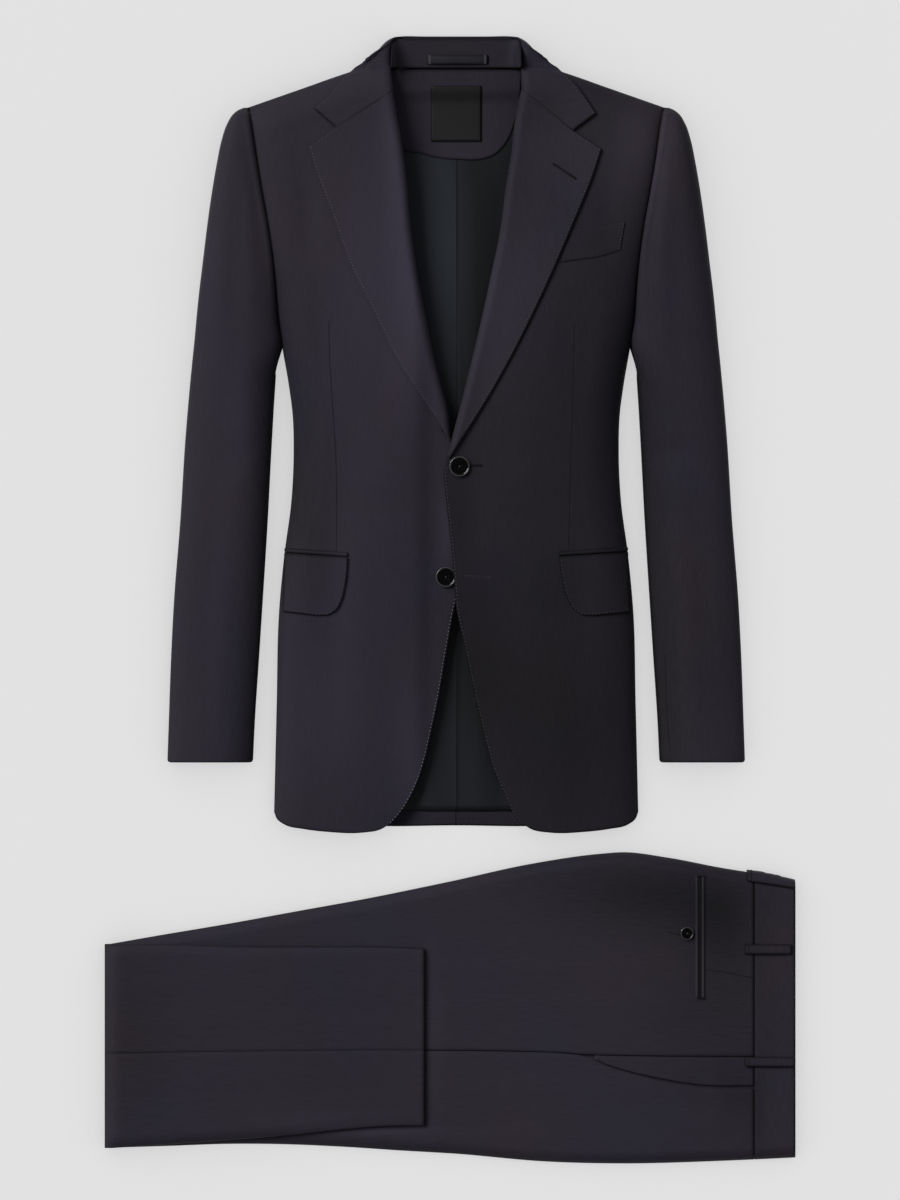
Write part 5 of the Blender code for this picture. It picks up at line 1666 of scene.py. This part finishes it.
def layered_block(name, stations, near, far, base, edge_height, crown, leaves):
    """Rings along the legs: pressed leaves at the sides, each a half circle deep, and a round top."""
    stations = np.asarray(stations)
    low = value_down(near, stations)[:, None]
    high = value_down(far, stations)[:, None]
    t = np.linspace(0, 1, 10 * leaves)[None, :]
    leaf = LEAF_DEPTH * (1 - np.abs(np.sin(math.pi * leaves * t)) ** 0.6) + LEAF_INSET
    leaf_height = base + LEAVES_SHARE * (edge_height - base) * t
    angle = np.radians(np.linspace(16, 90, 16))[None, :]
    top = crown(stations)[:, None]
    rise = top - edge_height
    square = np.hypot(np.cos(angle) / EDGE_ROUNDING, np.sin(angle) / rise)
    inside = BLOCK_INSIDE / square
    inset = EDGE_ROUNDING * (1 - np.cos(angle)) + inside * np.cos(angle) / EDGE_ROUNDING
    height = edge_height + rise * np.sin(angle) - inside * np.sin(angle) / rise
    inset = np.concatenate([leaf + 0 * low, inset], axis=1)
    height = np.concatenate([leaf_height + 0 * low, np.minimum(height, top - BLOCK_FLAT)], axis=1)
    down = np.concatenate([low + inset, (high - inset)[:, ::-1]], axis=1)
    height = np.concatenate([height, height[:, ::-1]], axis=1)
    rings = board_point(stations[:, None] + 0 * down, down, height)
    count, around = rings.shape[:2]
    index = np.arange(count * around).reshape(count, around)
    half = around // 2
    faces = ring_quads(index).tolist()
    for ring, order in ((index[0], 1), (index[-1], -1)):
        facing = ring[::-1]
        corners = [ring[: half - 1], ring[1:half], facing[1:half], facing[: half - 1]]
        faces += np.stack(corners, axis=-1)[:, ::order].tolist()
    piece = add_piece(name, rings, faces, wool(name, math.pi / 2))
    sew(piece, [name])


layered_block(
    "layers_below",
    np.linspace(BLOCK_START, WAIST_EDGE - 2.0, 120),
    UPPER_EDGE,
    LOWER_EDGE,
    0.0,
    LAYER_EDGE,
    lambda along: thigh_crown(along) - BLOCK_BELOW,
    3,
)
layered_block(
    "layers_over",
    np.linspace(BLOCK_START, HEM_ALONG - 1.0, 60),
    FOLDED_UPPER,
    FOLDED_LOWER,
    THIGH_CROWN + 2 * GAP,
    THIGH_CROWN + BLOCK_FLAT,
    lambda along: folded_crown(along, BLOCK_THINNING) - BLOCK_BELOW,
    2,
)


# The upper leg
# The back and the front of the wearer's right leg, sewn at the side seam, which opens into the
# slant pocket. The front crease is the lower edge, pressed sharp.

SIDE_SEAM = (
    # along, down
    (108.0, 1053.5),
    (260.0, 1051.3),
    (424.0, 1050.5),
    (525.0, 1051.7),
    (560.0, 1052.9),
    (583.0, 1054.6),
    (620.0, 1055.6),
    (754.5, 1056.8),
)
POCKET_MOUTH = (
    # along, down
    (587.0, 1056.6),
    (608.0, 1066.0),
    (635.0, 1074.0),
    (663.6, 1081.0),
    (703.5, 1087.4),
    (754.5, 1088.2),
)
BACK_DART = ((705.0, 970.2), (722.0, 971.8), (744.0, 976.6), (754.0, 978.4))
INNER_START = 8.5
INNER_REACH = 12.0
SEAM_DIP = 0.55
SEAM_DIP_WIDTH = 1.6
POCKET_OPENS = 570.0
FACING_START = 595.0
MOUTH_OVERLAP = 1.2
MOUTH_GAPE = 1.3
TROUSER_SHELL = 1.3
THIGH_CREASES = (
    # along, down, reach along, reach down, rise
    (520.0, 968.0, 95.0, 7.0, 0.45),
    (585.0, 992.0, 80.0, 6.0, -0.45),
    (470.0, 1008.0, 60.0, 6.0, 0.35),
    (640.0, 925.0, 70.0, 16.0, 0.7),
    (560.0, 1090.0, 90.0, 9.0, 0.5),
    (480.0, 1122.0, 80.0, 8.0, -0.4),
    (690.0, 1025.0, 45.0, 14.0, -0.6),
    (725.0, 1125.0, 40.0, 12.0, 0.4),
)


def leg_face(along, down, edges, low, crown, pressed):
    """A folded leg's face: its crown, rounded down at both long edges, with pressed creases."""
    near = down - value_down(edges[0], along)
    far = value_down(edges[1], along) - down
    height = low + (crown - low) * rounding(np.minimum(near, far), EDGE_ROUNDING)
    return height + bells(pressed, along, down)


def thigh_top(along, down):
    """The upper leg's face."""
    edges = (UPPER_EDGE, LOWER_EDGE)
    return leg_face(along, down, edges, LAYER_EDGE, thigh_crown(along), THIGH_CREASES)


ROUND_STEPS = EDGE_ROUNDING * (1 - np.cos(np.radians(np.linspace(0, 90, 14))))
SEAM_STEPS = np.array([0.0, 0.6, 1.4, 2.6, 4.4])


def cross_rows(near, far, along, count, round_near=False, round_far=False):
    """Plan points in rows across a leg, close together at a round edge or beside a seam."""
    low = value_down(near, along)[:, None]
    high = value_down(far, along)[:, None]
    first = ROUND_STEPS if round_near else SEAM_STEPS
    last = (ROUND_STEPS if round_far else SEAM_STEPS)[::-1]
    room = np.clip((high - low) / (first[-1] + last[0] + 2.0), 0.0, 1.0)
    first = first[None, :] * room
    last = last[None, :] * room
    middle = np.linspace(0, 1, count + 1)[None, 1:-1]
    span = high - low - first[:, -1:] - last[:, :1]
    down = np.concatenate([low + first, low + first[:, -1:] + span * middle, high - last], axis=1)
    return along[:, None] + 0 * down, down


def moved(table, amount):
    """An edge's table moved down the board by an amount."""
    return [(along, down + amount) for along, down in table]


def seam_dip(down, line, along):
    """A seam pulls the cloth down beside it: a narrow bell."""
    return SEAM_DIP * np.exp(-(((down - value_down(line, along)) / SEAM_DIP_WIDTH) ** 2))


def leg_rims(round_near, round_far):
    """Strengths of a leg's painted edge shade: full at a folded edge, faint at a seam, none inside the knee
    fold.
    """
    return (0, SEAM_RIM, 1 if round_near else SEAM_RIM, 1 if round_far else SEAM_RIM)


def thigh_panel(name, near, far, along, count, seam_line, round_near=False, round_far=False, drop=0.0):
    """Part of the upper leg, from inside the knee fold to the waistband."""
    along, down = cross_rows(near, far, along, count, round_near, round_far)
    height = thigh_top(along, down) - drop - seam_dip(down, seam_line, along)
    climb = rounding(along - FOLD_ALONG - 4.5, INNER_REACH)
    height = INNER_START + (height - INNER_START) * climb
    dart = line_field(np.stack([along, down], axis=-1), BACK_DART)
    finish = wool(name, math.pi / 2, seam=True)
    grid = board_point(along, down, height)
    rims = leg_rims(round_near, round_far)
    piece = cloth(name, grid, TROUSER_SHELL, finish, flip=True, seam=dart, rims=rims)
    return sew(piece, [name])


def upper_leg():
    """The back panel, the front panel cut to the pocket's mouth, and the facing inside it."""
    climb = FOLD_ALONG + 5.0 + 12.0 * (1 - np.cos(np.linspace(0.2, math.pi / 2, 12)))
    rows = np.concatenate([climb, np.linspace(FOLD_ALONG + 20.0, WAIST_SEAM - GAP, 190)[1:]])
    back = thigh_panel("trouser_back_panel", UPPER_EDGE, moved(SIDE_SEAM, -GAP), rows, 40, SIDE_SEAM, True)
    front_near = [point for point in moved(SIDE_SEAM, GAP) if point[0] < POCKET_OPENS]
    front_near += moved(POCKET_MOUTH, GAP)
    front = thigh_panel("trouser_front_panel", front_near, LOWER_EDGE, rows, 24, front_near, False, True)
    rows = np.linspace(FACING_START, WAIST_SEAM - GAP, 60)
    near = moved(SIDE_SEAM, GAP)
    gaping = [
        (along, down - MOUTH_OVERLAP - MOUTH_GAPE * step_up((along - 630.0) / 60.0))
        for along, down in POCKET_MOUTH
    ]
    facing = thigh_panel("pocket_facing", near, gaping, rows, 12, SIDE_SEAM, drop=0.8)
    return back


trouser_back = upper_leg()


# The folded lower leg
# The legs are folded back at the knee, and the wearer's left leg comes to lie on top, its hem
# square across the thigh. Its side seam runs on to the fold.

HEM_THINNING = 5.5
FOLD_RADIUS = 12.4
FOLD_REACH = 15.0
FOLD_TURN = (-72.0, 70.0)
FOLDED_CREASES = (
    # along, down, reach along, reach down, rise
    (230.0, 985.0, 90.0, 10.0, 0.35),
    (330.0, 1010.0, 80.0, 8.0, -0.35),
    (180.0, 1022.0, 60.0, 9.0, 0.3),
    (250.0, 1092.0, 100.0, 11.0, -0.35),
    (360.0, 1100.0, 50.0, 8.0, 0.3),
)


def folded_top(along, down):
    """The folded leg's face, its edges no higher than the crown near the hem lets them be."""
    crown = folded_crown(along, HEM_THINNING)
    low = np.minimum(FOLDED_EDGE, crown - 2.0)
    return leg_face(along, down, (FOLDED_UPPER, FOLDED_LOWER), low, crown, FOLDED_CREASES)


def folded_panel(name, near, far, count, round_near, round_far):
    """Half of the folded leg: up round the knee fold by the sine of the turn, then to the hem."""
    turn = np.radians(np.linspace(*FOLD_TURN, 40))
    fold_along = FOLD_ALONG + FOLD_REACH * (1 - np.cos(turn))
    flat_along = np.append(np.linspace(FOLD_ALONG + FOLD_REACH, HEM_ALONG - 0.9, 90), HEM_ALONG)
    rows = np.concatenate([fold_along, flat_along])
    along, down = cross_rows(near, far, rows, count, round_near, round_far)
    rise = np.concatenate([np.sin(turn), np.ones(len(flat_along))])[:, None]
    top = folded_top(along, down) - seam_dip(down, SIDE_SEAM, along)
    height = np.where(rise < 0, FOLD_RADIUS * (1 + rise), FOLD_RADIUS + (top - FOLD_RADIUS) * rise)
    grid = board_point(along, down, height)
    # A painted dark line along the knee fold, where shade falls in the turn.
    painted_fold_shade = PAINTED_EDGE_SHADE * np.exp(-(((along - FOLD_ALONG) / EDGE_WIDTH) ** 2))
    finish = wool(name, math.pi / 2)
    rims = (0, 1, 1 if round_near else SEAM_RIM, SEAM_RIM)
    piece = cloth(name, grid, TROUSER_SHELL, finish, flip=True, painted_shading=painted_fold_shade, rims=rims)
    sew(piece, [name])


folded_panel("folded_leg_back", FOLDED_UPPER, moved(SIDE_SEAM, -GAP), 24, True, False)
folded_panel("folded_leg_front", moved(SIDE_SEAM, -GAP), FOLDED_LOWER, 20, False, True)


# The waistband and the belt loops
# A band of self cloth sewn on along the waist. The loops are narrow folded strips, sewn into the
# band's lower seam and tacked at its top edge.

WAISTBAND_SHELL = 1.6
LOOP_WIDTH = 10.0
LOOP_SHELL = 1.1
BAND_OUT = 0.3
BELT_LOOP_OUT = 2.3
BELT_LOOP_ARCH = 1.2
BELT_LOOP_BEVEL = 0.35
BELT_LOOPS = {
    # start along, end along, down at the start, down at the end
    "back": (746.6, 795.0, 876.6, 884.6),
    "side_back": (744.5, 791.5, 949.2, 949.4),
    "side": (744.5, 795.0, 1061.6, 1062.0),
}


def waistband():
    """The band lies on the leg's face, its two long edges turned down a little."""
    between = np.linspace(WAIST_SEAM + 1.0, WAIST_EDGE - 0.8, 26)
    rows = np.concatenate([[WAIST_SEAM + GAP], between, [WAIST_EDGE]])
    along, down = cross_rows(UPPER_EDGE, LOWER_EDGE, rows, 70, True, True)
    turned = 0.5 * np.exp(-((along - WAIST_SEAM) / 1.2)) + 0.9 * np.exp(-((WAIST_EDGE - along) / 1.4))
    height = thigh_top(along, down) + BAND_OUT - turned
    grid = board_point(along, down, height)
    finish = wool("waistband", 0.0)
    band = cloth("waistband", grid, WAISTBAND_SHELL, finish, flip=True, rims=(SEAM_RIM / 2, 1, 1, 1))
    sew(band, ["waistband"])
    for name, (start, end, near, far) in BELT_LOOPS.items():
        steps, aside = np.meshgrid(edged(30, 0.02), edged(10, 0.05), indexing="ij")
        out = BELT_LOOP_OUT + BELT_LOOP_ARCH * np.clip(np.sin(math.pi * steps), 0, 1) ** 0.5
        out = out - BELT_LOOP_BEVEL * np.abs(2 * aside - 1) ** 4
        down = near + (far - near) * steps + LOOP_WIDTH * (aside - 0.5)
        grid = on_face(thigh_top, start + (end - start) * steps, down, out, centre=0.0)
        loop = cloth(f"belt_loop_{name}", grid, LOOP_SHELL, wool(f"belt_loop_{name}"), flip=True)
        sew(loop, [f"belt_loop_{name}"])
        thread = thread_finish(f"loop_{name}_thread", (0.014, 0.013, 0.018))
        stitches(f"belt_loop_{name}_tack", grid[3, 1:-1], 0.6, 2.0, 0.45, thread, lean=math.pi / 2)
        for edge_name, edge in (("near", 0), ("far", -1)):
            path = edge_inset(grid[4:-4, edge], grid[4:-4, -edge - 3 if edge else 2], 1.3)
            stitches(f"belt_loop_{name}_{edge_name}_stitch", path, 2.2, 1.4, 0.3, thread, lift=0.05)


waistband()


# The back pocket
# Two narrow jets along a straight slit, closed by one small button through a thread loop.

JETS = {"upper": (695.4, 698.3), "lower": (701.6, 704.8)}
# Painted edge shade on the back pocket's jets, and painted light that lightens the raised jets.
JET_RIMS = (SEAM_RIM, SEAM_RIM, SEAM_RIM, SEAM_RIM)
JET_PAINTED_LIGHT = 0.6
JET_ENDS = (876.0, 998.0)
SLIT = (697.6, 702.2)
POCKET_TACK = (697.0, 705.0)
POCKET_LOOP = ((668.7, 932.2), (682.0, 935.4))
POCKET_BUTTON = (687.2, 933.5)
TROUSER_BUTTON = 6.5
TROUSER_BUTTON_RISE = 2.6
TROUSER_SHANK = 0.5


def back_pocket():
    """Each jet is a low half round strip; the button is turned like the jacket's."""
    for name, (start, end) in JETS.items():
        v, down = np.meshgrid(np.linspace(0, 1, 9), np.linspace(*JET_ENDS, 60))
        height = thigh_top(start + (end - start) * v, down) + 0.9 + 0.8 * np.sin(math.pi * v) ** 0.7
        grid = board_point(start + (end - start) * v, down, height)
        label = f"back_pocket_jet_{name}"
        jet = cloth(label, grid, 0.7, wool(label), painted_shading=JET_PAINTED_LIGHT, rims=JET_RIMS)
        sew(jet, [label])
    # The pocketing seen in the slit, laid on the leg between the jets and made near black as painted shadow.
    along, down = np.meshgrid(np.linspace(*SLIT, 4), np.linspace(*JET_ENDS, 60))
    pocketing_and_shadow = lining("back_pocket_lining_shadow", (0.0008, 0.0008, 0.0010), 0.7)
    slit = cloth("back_pocket_lining_shadow", board_point(along, down, thigh_top(along, down) + 0.7), 0.3, pocketing_and_shadow)
    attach(slit, "root")
    height = float(thigh_top(*np.array(POCKET_BUTTON)))
    centre = board_point(*POCKET_BUTTON, height + TROUSER_SHANK)
    button("back_pocket_button", centre, TROUSER_BUTTON, TROUSER_BUTTON_RISE)
    start = board_point(*POCKET_LOOP[0], height + 0.3)
    end = board_point(*POCKET_LOOP[1], height + 0.5)
    line = start + (end - start) * np.linspace(0, 1, 20)[:, None]
    stitches("back_pocket_loop", line, 1.1, 1.7, 0.7, hole_thread, lift=0.2)
    for name, down in (("top", JET_ENDS[0]), ("foot", JET_ENDS[1])):
        bar = board_point(np.linspace(*POCKET_TACK, 12), down, height + 1.3)
        stitches(f"back_pocket_{name}_tack", bar, 0.6, 2.0, 0.5, hole_thread, lean=math.pi / 2)


back_pocket()
